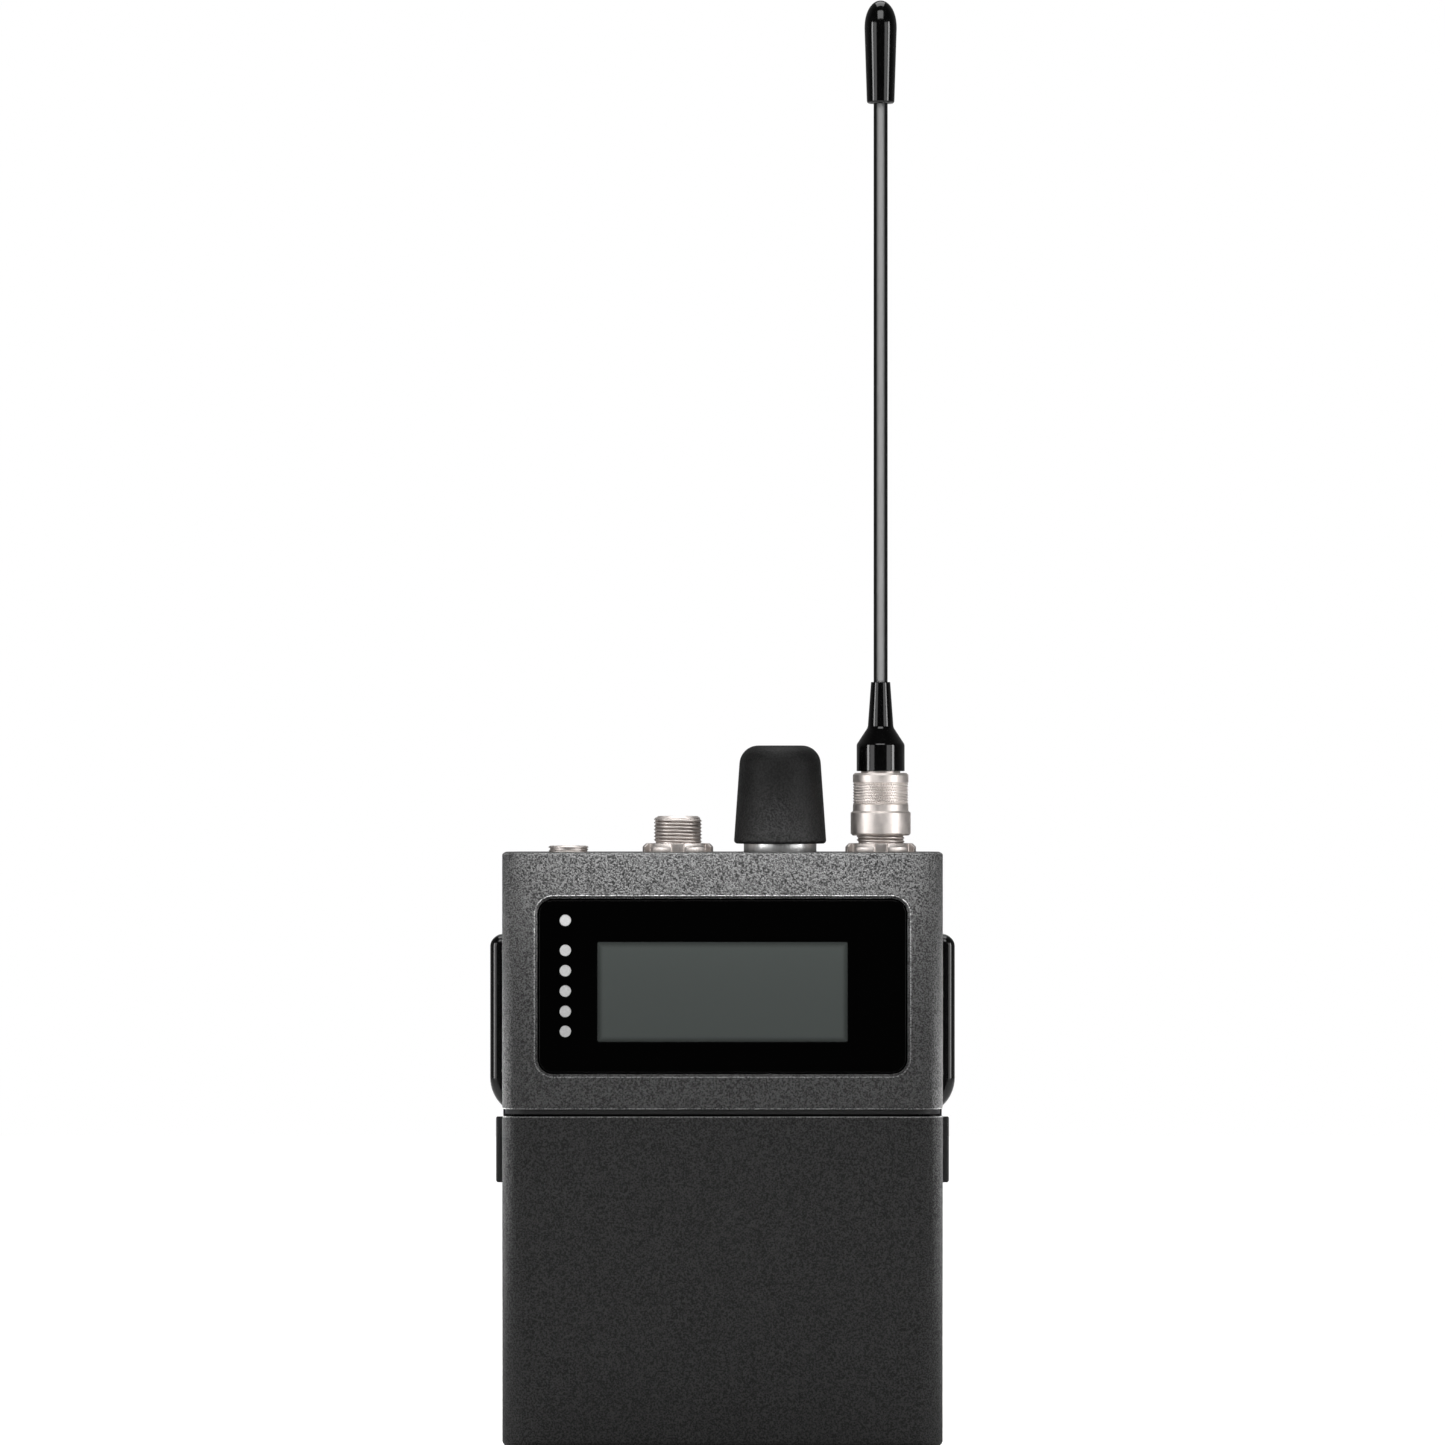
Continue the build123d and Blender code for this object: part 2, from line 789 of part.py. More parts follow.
with BuildPart() as battery_door:
    case_prism(0, door_top)
    fillet(battery_door.faces().sort_by(Axis.Z)[0].edges(), bottom_edge_radius)
    chamfer(battery_door.faces().sort_by(Axis.Z)[-1].edges(), edge_break)
    with BuildSketch(Plane.YZ.offset(-half_width)) as door_side:
        with BuildLine():
            swing = split_y - hinge_y
            top_swing = door_top - hinge_z
            cheek_top = hinge_z + (top_swing ** 2 - swing ** 2) ** 0.5
            Line((front_y, door_top), (front_y, 0))
            Line((front_y, 0), (hinge_y, 0))
            Line((hinge_y, 0), (hinge_y, hinge_z - swing))
            RadiusArc((hinge_y, hinge_z - swing), (split_y, hinge_z), -swing)
            Line((split_y, hinge_z), (split_y, cheek_top))
            RadiusArc((split_y, cheek_top), (hinge_y, door_top), -top_swing)
            Line((hinge_y, door_top), (front_y, door_top))
        make_face()
    extrude(amount=case_width, mode=Mode.INTERSECT)
    case_prism(hinge_bar_height, door_top, door_wall, mode=Mode.SUBTRACT)
    block(
        (-cheek_inner_x, cheek_inner_x),
        (front_y + hinge_bar_depth, case_depth),
        (-1, hinge_bar_height),
        Mode.SUBTRACT,
    )
    for ear_place in (-ear_x, ear_x):
        notch_half = ear_width / 2 + moving_gap
        block(
            (ear_place - notch_half, ear_place + notch_half),
            (front_y + hinge_skin, front_y + hinge_bar_depth),
            (-1, hinge_bar_height),
            Mode.SUBTRACT,
        )
        pin_half = hinge_pin_length / 2 + press_gap
        rod_along_x(
            (ear_place - pin_half, ear_place + pin_half),
            hinge_y,
            hinge_z,
            hinge_pin_diameter + 2 * hinge_pin_clearance,
            Mode.SUBTRACT,
        )
    for side in (-1, 1):
        notch_span = sorted((side * (cheek_inner_x - edge_break), side * (half_width + 1)))
        block(
            notch_span,
            (latch_front_y - moving_gap / 2, latch_rear_y + moving_gap / 2),
            (latch_bottom - moving_gap / 2, door_top + 1),
            Mode.SUBTRACT,
        )
        rib_span = sorted((side * latch_rib_x, side * (latch_rib_x - latch_rib_thickness)))
        block(
            rib_span,
            (front_y + door_wall - edge_break, front_y + door_wall + latch_rib_depth),
            (latch_mid_z - latch_rib_height / 2, latch_mid_z + latch_rib_height / 2),
        )
save(battery_door, "battery_door")

with BuildPart() as battery_pad:
    pad_y = front_y + door_wall
    block(
        (-pad_width / 2, pad_width / 2),
        (pad_y, pad_y + pad_thickness - fit_gap),
        (battery_top - pad_height - 1, battery_top - 1),
    )
save(battery_pad, "battery_pad")

with BuildPart() as door_hinge_pins:
    for ear_place in (-ear_x, ear_x):
        pin_span = (ear_place - hinge_pin_length / 2, ear_place + hinge_pin_length / 2)
        rod_along_x(pin_span, hinge_y, hinge_z, hinge_pin_diameter)
save(door_hinge_pins, "door_hinge_pins")


def make_latch(name, side):
    """Build one side latch: an outer pad, an inner flange and a hook tab that reaches back."""
    with BuildPart() as latch:
        pad_span = sorted((side * latch_flange_x, side * (half_width + latch_proud)))
        block(pad_span, (latch_front_y, latch_rear_y), (latch_bottom, latch_top))
        outer = latch.faces().sort_by(Axis.X)[-1 if side > 0 else 0]
        fillet(outer.edges(), latch_edge_radius)
        flange_span = sorted((side * latch_inner_x, side * latch_flange_x))
        block(
            flange_span,
            (latch_front_y - latch_flange_overlap / 2, latch_rear_y + latch_flange_overlap),
            (latch_bottom - latch_flange_overlap, latch_top),
        )
        block(flange_span, (latch_rear_y, latch_tab_reach), (latch_tab_bottom, latch_tab_top))
        latch_swing = latch_top - hinge_z
        rod_along_x((-case_width, case_width), hinge_y, hinge_z, 2 * latch_swing, Mode.INTERSECT)
        outer_x = half_width + latch_proud
        groove_span = sorted((side * (outer_x - grip_groove_depth), side * (outer_x + 1)))
        latch_mid_y = (latch_front_y + latch_rear_y) / 2
        for index in range(grip_groove_count):
            groove_y = latch_mid_y + (index - (grip_groove_count - 1) / 2) * grip_groove_pitch
            block(
                groove_span,
                (groove_y - grip_groove_width / 2, groove_y + grip_groove_width / 2),
                (latch_mid_z - grip_groove_length / 2, latch_mid_z + grip_groove_length / 2),
                Mode.SUBTRACT,
            )
    save(latch, name)


def make_latch_spring(name, side):
    """Build the coil spring that pushes one latch outwards from its rib on the door."""
    start_x = side * (latch_rib_x + latch_spring_wire / 2 + press_gap)
    coil_length = latch_spring_length - latch_spring_wire
    with BuildPart() as spring:
        with BuildLine():
            Helix(
                coil_length / latch_spring_turns,
                coil_length,
                latch_spring_radius,
                center=(start_x, latch_spring_y, latch_mid_z),
                direction=(side, 0, 0),
            )
        path = spring.pending_edges[0]
        with BuildSketch(Plane(origin=path @ 0, z_dir=path % 0)):
            Circle(latch_spring_wire / 2)
        sweep(is_frenet=True)
    save(spring, name)


for latch_side, side_name in ((-1, "left"), (1, "right")):
    make_latch(f"latch_{side_name}", latch_side)
    make_latch_spring(f"latch_spring_{side_name}", latch_side)

# ================= Headphone socket =================

with BuildPart() as jack_bushing:
    jack_top = panel_height + jack_proud
    upright(jack_x, 0, jack_sleeve_bottom, jack_top, jack_thread_diameter)
    upright(jack_x, 0, jack_sleeve_bottom, jack_top, jack_bore_diameter, Mode.SUBTRACT)
    chamfer(jack_bushing.faces().sort_by(Axis.Z)[-1].edges(), edge_break)
save(jack_bushing, "jack_bushing")

with BuildPart() as jack_body:
    block(
        (jack_x - jack_body_width / 2, jack_x + jack_body_width / 2),
        (-jack_body_depth / 2, jack_body_depth / 2),
        (jack_body_bottom, plate_underside - press_gap),
    )
    upright(jack_x, 0, jack_sleeve_bottom, panel_height, jack_thread_diameter + 2 * press_gap, Mode.SUBTRACT)
    upright(jack_x, 0, jack_top - jack_bore_length, panel_height, jack_bore_diameter, Mode.SUBTRACT)
save(jack_body, "jack_body")

# ================= Receptacles =================


def make_receptacle(name, x, top, bore, bore_floor):
    """Build a threaded connector shell with a flange that bears on the panel's underside."""
    with BuildPart() as shell:
        thread_start = panel_height + ring_nut_height
        upright(x, 0, receptacle_bottom, thread_start - thread_relief, panel_thread_diameter)
        upright(x, 0, thread_start - thread_relief, thread_start + thread_relief, thread_root_diameter)
        upright(x, 0, thread_start + thread_relief, top, thread_diameter)
        chamfer(shell.faces().sort_by(Axis.Z)[-1].edges(), thread_chamfer)
        flange_top = plate_underside - press_gap
        upright(x, 0, flange_top - receptacle_flange_height, flange_top, receptacle_flange_diameter)
        upright(x, 0, bore_floor, top, bore, Mode.SUBTRACT)
        upright(x, 0, receptacle_bottom, bore_floor, bore - 1, Mode.SUBTRACT)
    save(shell, name)


def make_ring_nut(name, x):
    """Build a slotted ring nut that clamps a connector shell to the panel."""
    with BuildPart() as nut:
        upright(x, 0, panel_height, panel_height + ring_nut_height, ring_nut_diameter)
        chamfer(nut.faces().sort_by(Axis.Z)[-1].edges(), ring_nut_chamfer)
        bore_top = panel_height + 2 * ring_nut_height
        upright(x, 0, panel_height - 1, bore_top, panel_thread_diameter, Mode.SUBTRACT)
        with Locations((x, 0, panel_height + ring_nut_height / 2)):
            with PolarLocations(ring_nut_diameter / 2, ring_nut_slots, start_angle=-90):
                Box(2 * ring_nut_slot_depth, ring_nut_slot_width, 2 * ring_nut_height, mode=Mode.SUBTRACT)
    save(nut, name)


make_receptacle("mic_receptacle", mic_x, mic_top, mic_bore_diameter, receptacle_bottom + 1)
make_ring_nut("mic_ring_nut", mic_x)
make_receptacle(
    "antenna_receptacle",
    antenna_x,
    antenna_receptacle_top,
    antenna_bore_diameter,
    receptacle_bottom + 1,
)
make_ring_nut("antenna_ring_nut", antenna_x)

with BuildPart() as mic_insulator:
    upright(mic_x, 0, receptacle_bottom + 1, mic_insulator_top, mic_bore_diameter)
    with Locations((mic_x, 0, 0)):
        with PolarLocations(mic_pin_circle / 2, mic_pin_count, start_angle=90):
            Cylinder(mic_pin_diameter / 2, 4 * panel_height, mode=Mode.SUBTRACT)
save(mic_insulator, "mic_insulator")

with BuildPart() as mic_pins:
    with Locations((mic_x, 0, pin_tail_bottom)):
        with PolarLocations(mic_pin_circle / 2, mic_pin_count, start_angle=90):
            Cylinder(
                mic_pin_diameter / 2,
                mic_pin_top - pin_tail_bottom,
                align=(Align.CENTER, Align.CENTER, Align.MIN),
            )
save(mic_pins, "mic_pins")

with BuildPart() as antenna_insulator:
    upright(antenna_x, 0, receptacle_bottom + 1, antenna_insulator_top, antenna_bore_diameter)
    upright(antenna_x, 0, receptacle_bottom, panel_height + 1, antenna_contact_diameter, Mode.SUBTRACT)
save(antenna_insulator, "antenna_insulator")

with BuildPart() as antenna_contact:
    upright(antenna_x, 0, pin_tail_bottom, antenna_contact_top, antenna_contact_diameter)
    upright(
        antenna_x,
        0,
        receptacle_bottom + 1,
        antenna_contact_top,
        antenna_pin_diameter + 2 * running_gap,
        Mode.SUBTRACT,
    )
save(antenna_contact, "antenna_contact")

# ================= Antenna =================

with BuildPart() as antenna_coupling_nut:
    upright(antenna_x, 0, nut_bottom, nut_step, nut_lower_diameter)
    upright(antenna_x, 0, nut_step, nut_top, nut_upper_diameter)
    rings = antenna_coupling_nut.edges().filter_by(GeomType.CIRCLE).group_by(Axis.Z)
    chamfer(rings[0] + rings[-1], nut_edge)
    upright(antenna_x, 0, nut_bottom - 1, barrel_flange_top + running_gap, nut_bore_diameter, Mode.SUBTRACT)
    upright(antenna_x, 0, nut_step, nut_top + 1, barrel_diameter + 2 * running_gap, Mode.SUBTRACT)
save(antenna_coupling_nut, "antenna_coupling_nut")

with BuildPart() as antenna_plug_barrel:
    upright(antenna_x, 0, barrel_nose_bottom, barrel_flange_bottom, barrel_nose_diameter)
    upright(antenna_x, 0, barrel_flange_bottom, barrel_flange_top, barrel_flange_diameter)
    upright(antenna_x, 0, barrel_flange_top, boot_bottom, barrel_diameter)
    upright(antenna_x, 0, boot_bottom, barrel_neck_top, barrel_neck_diameter)
    upright(antenna_x, 0, barrel_nose_bottom, barrel_flange_top, barrel_nose_diameter - 1, Mode.SUBTRACT)
    upright(antenna_x, 0, barrel_flange_bottom, barrel_neck_top, rod_diameter, Mode.SUBTRACT)
save(antenna_plug_barrel, "antenna_plug_barrel")

with BuildPart() as antenna_plug_insulator:
    insulator_low = antenna_contact_top + moving_gap
    upright(antenna_x, 0, insulator_low, barrel_flange_top, barrel_nose_diameter - 1)
    upright(antenna_x, 0, barrel_nose_bottom, barrel_neck_top, antenna_pin_diameter, Mode.SUBTRACT)
save(antenna_plug_insulator, "antenna_plug_insulator")

with BuildPart() as antenna_pin:
    upright(antenna_x, 0, antenna_insulator_top - 1, barrel_flange_top, antenna_pin_diameter)
save(antenna_pin, "antenna_pin")

with BuildPart() as antenna_boot:
    turned(
        [
            (rod_diameter / 2, boot_bottom),
            (boot_diameter / 2, boot_bottom),
            (boot_diameter / 2, boot_shoulder),
            (boot_waist_diameter / 2, boot_waist),
            (boot_top_diameter / 2, boot_top),
            (rod_diameter / 2, boot_top),
        ],
        antenna_x,
    )
    shoulder_edges = antenna_boot.edges().filter_by(GeomType.CIRCLE)
    fillet(shoulder_edges.filter_by_position(Axis.Z, boot_shoulder - 0.1, boot_shoulder + 0.1), 1.2)
    fillet(
        antenna_boot.edges()
        .filter_by(GeomType.CIRCLE)
        .filter_by_position(Axis.Z, boot_waist - 0.1, boot_waist + 0.1),
        1.2,
    )
    upright(antenna_x, 0, boot_bottom, barrel_neck_top, barrel_neck_diameter, Mode.SUBTRACT)
save(antenna_boot, "antenna_boot")

with BuildPart() as antenna_rod:
    rod_top = cap_widest
    upright(antenna_x, 0, barrel_flange_top, rod_top, rod_diameter)
    upright(antenna_x, 0, barrel_flange_top, rod_top, core_diameter, Mode.SUBTRACT)
save(antenna_rod, "antenna_rod")

with BuildPart() as antenna_core:
    upright(antenna_x, 0, barrel_flange_top, rod_top, core_diameter)
save(antenna_core, "antenna_core")

with BuildPart() as antenna_tip_cap:
    with BuildSketch(Plane.XZ):
        with BuildLine():
            low_point = (antenna_x + cap_bottom_diameter / 2, cap_bottom)
            wide_point = (antenna_x + cap_widest_diameter / 2, cap_widest)
            nose_height = overall_height - cap_widest
            Line((antenna_x, overall_height), (antenna_x, cap_bottom))
            Line((antenna_x, cap_bottom), low_point)
            Line(low_point, wide_point)
            Bezier(
                wide_point,
                (antenna_x + cap_widest_diameter / 2, cap_widest + nose_fullness * nose_height),
                (antenna_x + nose_fullness * cap_widest_diameter / 2, overall_height),
                (antenna_x, overall_height),
            )
        make_face()
    revolve(axis=Axis((antenna_x, 0, 0), (0, 0, 1)))
    fillet(antenna_tip_cap.faces().sort_by(Axis.Z)[0].edges(), cap_bottom_radius)
    upright(antenna_x, 0, cap_bottom, rod_top + fit_gap, rod_diameter, Mode.SUBTRACT)
save(antenna_tip_cap, "antenna_tip_cap")

# ================= Push-and-turn knob =================

with BuildPart() as encoder_nut:
    upright(knob_x, 0, panel_height, collar_top, collar_diameter)
    chamfer(encoder_nut.faces().sort_by(Axis.Z)[-1].edges(), edge_break)
    upright(knob_x, 0, panel_height, collar_top, encoder_thread_diameter, Mode.SUBTRACT)
save(encoder_nut, "encoder_nut")

with BuildPart() as encoder_bushing:
    upright(knob_x, 0, encoder_body_top, collar_top - press_gap, encoder_thread_diameter)
    upright(knob_x, 0, encoder_body_top, collar_top, shaft_diameter + 2 * running_gap, Mode.SUBTRACT)
save(encoder_bushing, "encoder_bushing")

with BuildPart() as encoder_body:
    encoder_half = encoder_body_size / 2
    block(
        (knob_x - encoder_half, knob_x + encoder_half),
        (-encoder_half, encoder_half),
        (encoder_body_bottom, encoder_body_top),
    )
    shaft_room = shaft_bottom - knob_travel - moving_gap
    upright(knob_x, 0, shaft_room, encoder_body_top, shaft_diameter + 2 * running_gap, Mode.SUBTRACT)
    upright(
        knob_x,
        0,
        plunger_bottom - knob_travel - moving_gap,
        encoder_body_top,
        plunger_diameter + 2 * running_gap,
        Mode.SUBTRACT,
    )
save(encoder_body, "encoder_body")

with BuildPart() as encoder_plunger:
    upright(knob_x, 0, plunger_bottom, shaft_bottom - running_gap, plunger_diameter)
save(encoder_plunger, "encoder_plunger")

with BuildPart() as encoder_shaft:
    upright(knob_x, 0, shaft_bottom, shaft_top, shaft_diameter)
save(encoder_shaft, "encoder_shaft")

with BuildPart() as knob:
    turned(
        [
            (0, knob_bottom),
            (knob_base_diameter / 2, knob_bottom),
            (knob_shoulder_diameter / 2, knob_shoulder),
            (knob_shoulder_diameter / 2 - 0.2, knob_top),
            (0, knob_top),
        ],
        knob_x,
    )
    knob_rings = knob.edges().filter_by(GeomType.CIRCLE).group_by(Axis.Z)
    fillet(knob_rings[-1], knob_top - knob_shoulder - 0.1)
    fillet(knob.edges().filter_by(GeomType.CIRCLE).group_by(Axis.Z)[0], knob_edge)
    upright(knob_x, 0, knob_bottom, knob_bottom + knob_skirt_depth, knob_skirt_diameter, Mode.SUBTRACT)
    upright(knob_x, 0, knob_bottom, shaft_top, shaft_diameter, Mode.SUBTRACT)
save(knob, "knob")

# ================= Belt clip =================

with BuildPart() as clip_bracket:
    case_prism(arm_bottom - arm_bottom_radius, arm_top, -arm_proud)
    with BuildSketch(Plane.XZ.offset(-case_depth)) as outline:
        outline_width = case_width + 2 * arm_proud
        outline_bottom = arm_bottom - arm_bottom_drop
        outline_height = arm_top - outline_bottom
        with Locations((0, (arm_top + outline_bottom) / 2)):
            Rectangle(outline_width, outline_height)
        fillet(outline.vertices().group_by(Axis.Y)[0], arm_bottom_radius)
        fillet(outline.vertices().group_by(Axis.Y)[-1], arm_top_radius)
    extrude(amount=2 * case_depth, mode=Mode.INTERSECT)
    case_prism(0, panel_height, -arm_gap, mode=Mode.SUBTRACT)
    block((-case_width, case_width), (-case_depth, arm_front_y), (0, panel_height), Mode.SUBTRACT)
    front_faces = clip_bracket.faces().filter_by_position(Axis.Y, arm_front_y - 0.01, arm_front_y + 0.01)
    inner_x = half_width + arm_gap
    outer_edges = [edge for edge in front_faces.edges() if abs(edge.center().X) > inner_x + edge_break]
    fillet(outer_edges, arm_edge_radius)
    block(
        (-half_width + case_corner_radius, half_width - case_corner_radius),
        (back_y, back_y + 2 * arm_proud),
        (0, clip_pin_z - 2 * lug_radius - lug_thickness),
        Mode.SUBTRACT,
    )
    for side in (-1, 1):
        nub_span = sorted((side * (half_width - nub_length), side * (half_width + arm_proud / 2)))
        rod_along_x(nub_span, nub_y, nub_z, nub_diameter)
        lug_near = tongue_width / 2 + moving_gap
        lug_span = sorted((side * lug_near, side * (lug_near + lug_thickness)))
        block(
            lug_span,
            (back_y + arm_proud / 2, clip_pin_y),
            (clip_pin_z - lug_radius, clip_pin_z + lug_radius),
        )
        rod_along_x(lug_span, clip_pin_y, clip_pin_z, 2 * lug_radius)
        rod_along_x(lug_span, clip_pin_y, clip_pin_z, clip_pin_diameter + 2 * press_gap, Mode.SUBTRACT)
save(clip_bracket, "clip_bracket")

with BuildPart() as clip_pin:
    pin_reach = tongue_width / 2 + moving_gap + lug_thickness
    rod_along_x((-pin_reach, pin_reach), clip_pin_y, clip_pin_z, clip_pin_diameter)
save(clip_pin, "clip_pin")

with BuildPart() as clip_tongue:
    with BuildSketch(Plane.YZ.offset(-tongue_width / 2)):
        with BuildLine():
            tip_y = back_y + tongue_tip_gap + tongue_thickness / 2
            FilletPolyline(
                (tongue_mid_y, tongue_lever_top),
                (tongue_mid_y, tongue_bend_z),
                (tip_y, tongue_tip_z),
                (tip_y + tongue_flare, tongue_end_z),
                radius=tongue_bend_radius,
            )
            offset(amount=tongue_thickness / 2, side=Side.BOTH)
        make_face()
    extrude(amount=tongue_width)
    rod_along_x((-tongue_width / 2, tongue_width / 2), clip_pin_y, clip_pin_z, 2 * clip_barrel_radius)
    window_half = clip_spring_window / 2
    window_reach = clip_barrel_radius + moving_gap
    block(
        (-window_half, window_half),
        (clip_pin_y - window_reach, clip_pin_y + window_reach),
        (clip_pin_z - window_reach, clip_pin_z + window_reach),
        Mode.SUBTRACT,
    )
    rod_along_x(
        (-tongue_width, tongue_width),
        clip_pin_y,
        clip_pin_z,
        clip_pin_diameter + 2 * clip_pin_gap,
        Mode.SUBTRACT,
    )
save(clip_tongue, "clip_tongue")

with BuildPart() as clip_spring:
    spring_length = clip_spring_window - 3 * clip_spring_wire
    spring_radius = clip_pin_diameter / 2 + clip_pin_gap + clip_spring_wire
    with BuildLine():
        Helix(
            spring_length / clip_spring_turns,
            spring_length,
            spring_radius,
            center=(-spring_length / 2, clip_pin_y, clip_pin_z),
            direction=(1, 0, 0),
        )
    spring_path = clip_spring.pending_edges[0]
    with BuildSketch(Plane(origin=spring_path @ 0, z_dir=spring_path % 0)):
        Circle(clip_spring_wire / 2)
    sweep(is_frenet=True)
save(clip_spring, "clip_spring")
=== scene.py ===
import json
import logging
import math
from dataclasses import dataclass, field
from enum import Enum
from functools import partial
from typing import Iterable, Sequence

import bmesh
import bpy
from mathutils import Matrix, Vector


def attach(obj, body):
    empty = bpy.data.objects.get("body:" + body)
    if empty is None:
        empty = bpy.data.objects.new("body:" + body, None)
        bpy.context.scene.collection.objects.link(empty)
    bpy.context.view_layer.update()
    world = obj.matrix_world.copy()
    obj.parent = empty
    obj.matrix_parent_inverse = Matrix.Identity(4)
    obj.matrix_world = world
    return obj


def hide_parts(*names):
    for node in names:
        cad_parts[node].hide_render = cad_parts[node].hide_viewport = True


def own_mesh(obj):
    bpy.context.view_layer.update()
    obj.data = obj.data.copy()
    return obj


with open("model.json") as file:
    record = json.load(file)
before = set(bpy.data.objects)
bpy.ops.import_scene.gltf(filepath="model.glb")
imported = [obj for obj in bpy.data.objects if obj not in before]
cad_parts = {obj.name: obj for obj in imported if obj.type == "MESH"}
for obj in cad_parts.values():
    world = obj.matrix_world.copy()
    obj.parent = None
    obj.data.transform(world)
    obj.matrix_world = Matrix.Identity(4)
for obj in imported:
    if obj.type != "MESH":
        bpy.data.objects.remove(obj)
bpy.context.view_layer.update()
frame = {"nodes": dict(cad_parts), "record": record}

logging.basicConfig(level=logging.INFO, format="%(name)s: %(message)s")
log = logging.getLogger("bodypack")

MM = 0.001
Point = tuple[float, float, float]
Colour = tuple[float, float, float, float]
Profile = Sequence[tuple[float, float, float]]
Socket = bpy.types.NodeSocket
Tree = bpy.types.NodeTree
Material = bpy.types.Material
Object = bpy.types.Object
WHITE = (1.0, 1.0, 1.0, 1.0)
ARC = [math.pi / 2 * step / 16 for step in range(16)]


class Body(str, Enum):
    """The rigid bodies that the pieces ride on."""

    HOUSING = "housing"
    DOOR = "battery_door"
    ANTENNA = "antenna"
    NUT = "antenna_nut"


# ---------------------------------------------------------------- helpers


def linear(hex_colour: str) -> tuple[float, float, float, float]:
    """Turn an sRGB hex colour into a linear one.

    Args:
        hex_colour: six hex digits, such as "1A1B1C".

    Returns:
        Red, green, blue and an alpha of one, in linear light.
    """
    channels = [int(hex_colour[i : i + 2], 16) / 255 for i in (0, 2, 4)]
    curved = [c / 12.92 if c <= 0.04045 else ((c + 0.055) / 1.055) ** 2.4 for c in channels]
    return (*curved, 1.0)


def shade(hex_colour: str, factor: float) -> tuple[float, float, float, float]:
    """A colour made lighter or darker.

    Args:
        hex_colour: the sRGB hex colour.
        factor: the share of its light that is kept.

    Returns:
        The linear colour, no channel above one.
    """
    red, green, blue, _ = linear(hex_colour)
    return (min(1.0, red * factor), min(1.0, green * factor), min(1.0, blue * factor), 1.0)


def set_inputs(tree: Tree, node: bpy.types.Node, inputs: dict) -> None:
    """Give a node's inputs their values or their links.

    Args:
        tree: the node's tree.
        node: the node.
        inputs: input name or number to a value, or to the output socket that feeds it.
    """
    for key, value in inputs.items():
        socket = node.inputs[key]
        if isinstance(value, Socket):
            tree.links.new(value, socket)
        else:
            socket.default_value = value


def add_node(tree: Tree, kind: str, inputs: dict | None = None, **settings) -> bpy.types.Node:
    """Add one node with its settings, its input values and its links.

    Args:
        tree: the node tree that gets the node.
        kind: the node's Blender type name.
        inputs: what set_inputs takes.
        settings: the node's own properties.

    Returns:
        The new node.
    """
    node = tree.nodes.new(kind)
    for key, value in settings.items():
        setattr(node, key, value)
    set_inputs(tree, node, inputs or {})
    return node


def maths_node(tree: Tree, operation: str, *values: object) -> Socket:
    """Add one maths node.

    Args:
        tree: the tree that gets it.
        operation: what it does.
        values: what it does it to.

    Returns:
        The result.
    """
    return add_node(tree, "ShaderNodeMath", dict(enumerate(values)), operation=operation).outputs[0]


def finish_mesh(name: str, shape: bmesh.types.BMesh, smooth: bool = True) -> Object:
    """Close up a bmesh, point its faces outwards and put it in the scene.

    Args:
        name: the piece's name.
        shape: the mesh being built; it is freed.
        smooth: whether the faces are shaded smooth.

    Returns:
        The new object, at the origin.
    """
    bmesh.ops.remove_doubles(shape, verts=shape.verts, dist=1e-7)
    bmesh.ops.recalc_face_normals(shape, faces=shape.faces)
    mesh = bpy.data.meshes.new(name)
    shape.to_mesh(mesh)
    shape.free()
    mesh.polygons.foreach_set("use_smooth", [smooth] * len(mesh.polygons))
    piece = bpy.data.objects.new(name, mesh)
    bpy.context.scene.collection.objects.link(piece)
    return piece


def rounded(profile: Profile, steps: int = 6) -> list[tuple[float, float]]:
    """Round the corners of an open outline.

    Args:
        profile: (radius, height, corner radius) for each corner, in millimetres.
        steps: the number of segments in each rounded corner.

    Returns:
        (radius, height) points, in millimetres.
    """
    points: list[tuple[float, float]] = []
    for i, (r, z, corner) in enumerate(profile):
        if corner <= 0 or i in (0, len(profile) - 1):
            points.append((r, z))
            continue
        here = Vector((r, z))
        before = Vector(profile[i - 1][:2]) - here
        after = Vector(profile[i + 1][:2]) - here
        half = before.angle(after) / 2
        reach = min(corner / math.tan(half), before.length * 0.49, after.length * 0.49)
        start = here + before.normalized() * reach
        end = here + after.normalized() * reach
        for step in range(steps + 1):
            t = step / steps
            bend = (1 - t) ** 2 * start + 2 * t * (1 - t) * here + t**2 * end
            points.append((bend.x, bend.y))
    return points


def skin(shape: bmesh.types.BMesh, rings: Sequence[Sequence[bmesh.types.BMVert]]) -> None:
    """Join each ring of vertices to the next with faces.

    Args:
        shape: the mesh being built.
        rings: the rings, in order; one vertex repeated all round makes a point.
    """
    for low, high in zip(rings, rings[1:]):
        count = len(low)
        for k in range(count):
            after = (k + 1) % count
            corners = list(dict.fromkeys((low[k], low[after], high[after], high[k])))
            if len(corners) > 2:
                shape.faces.new(corners)


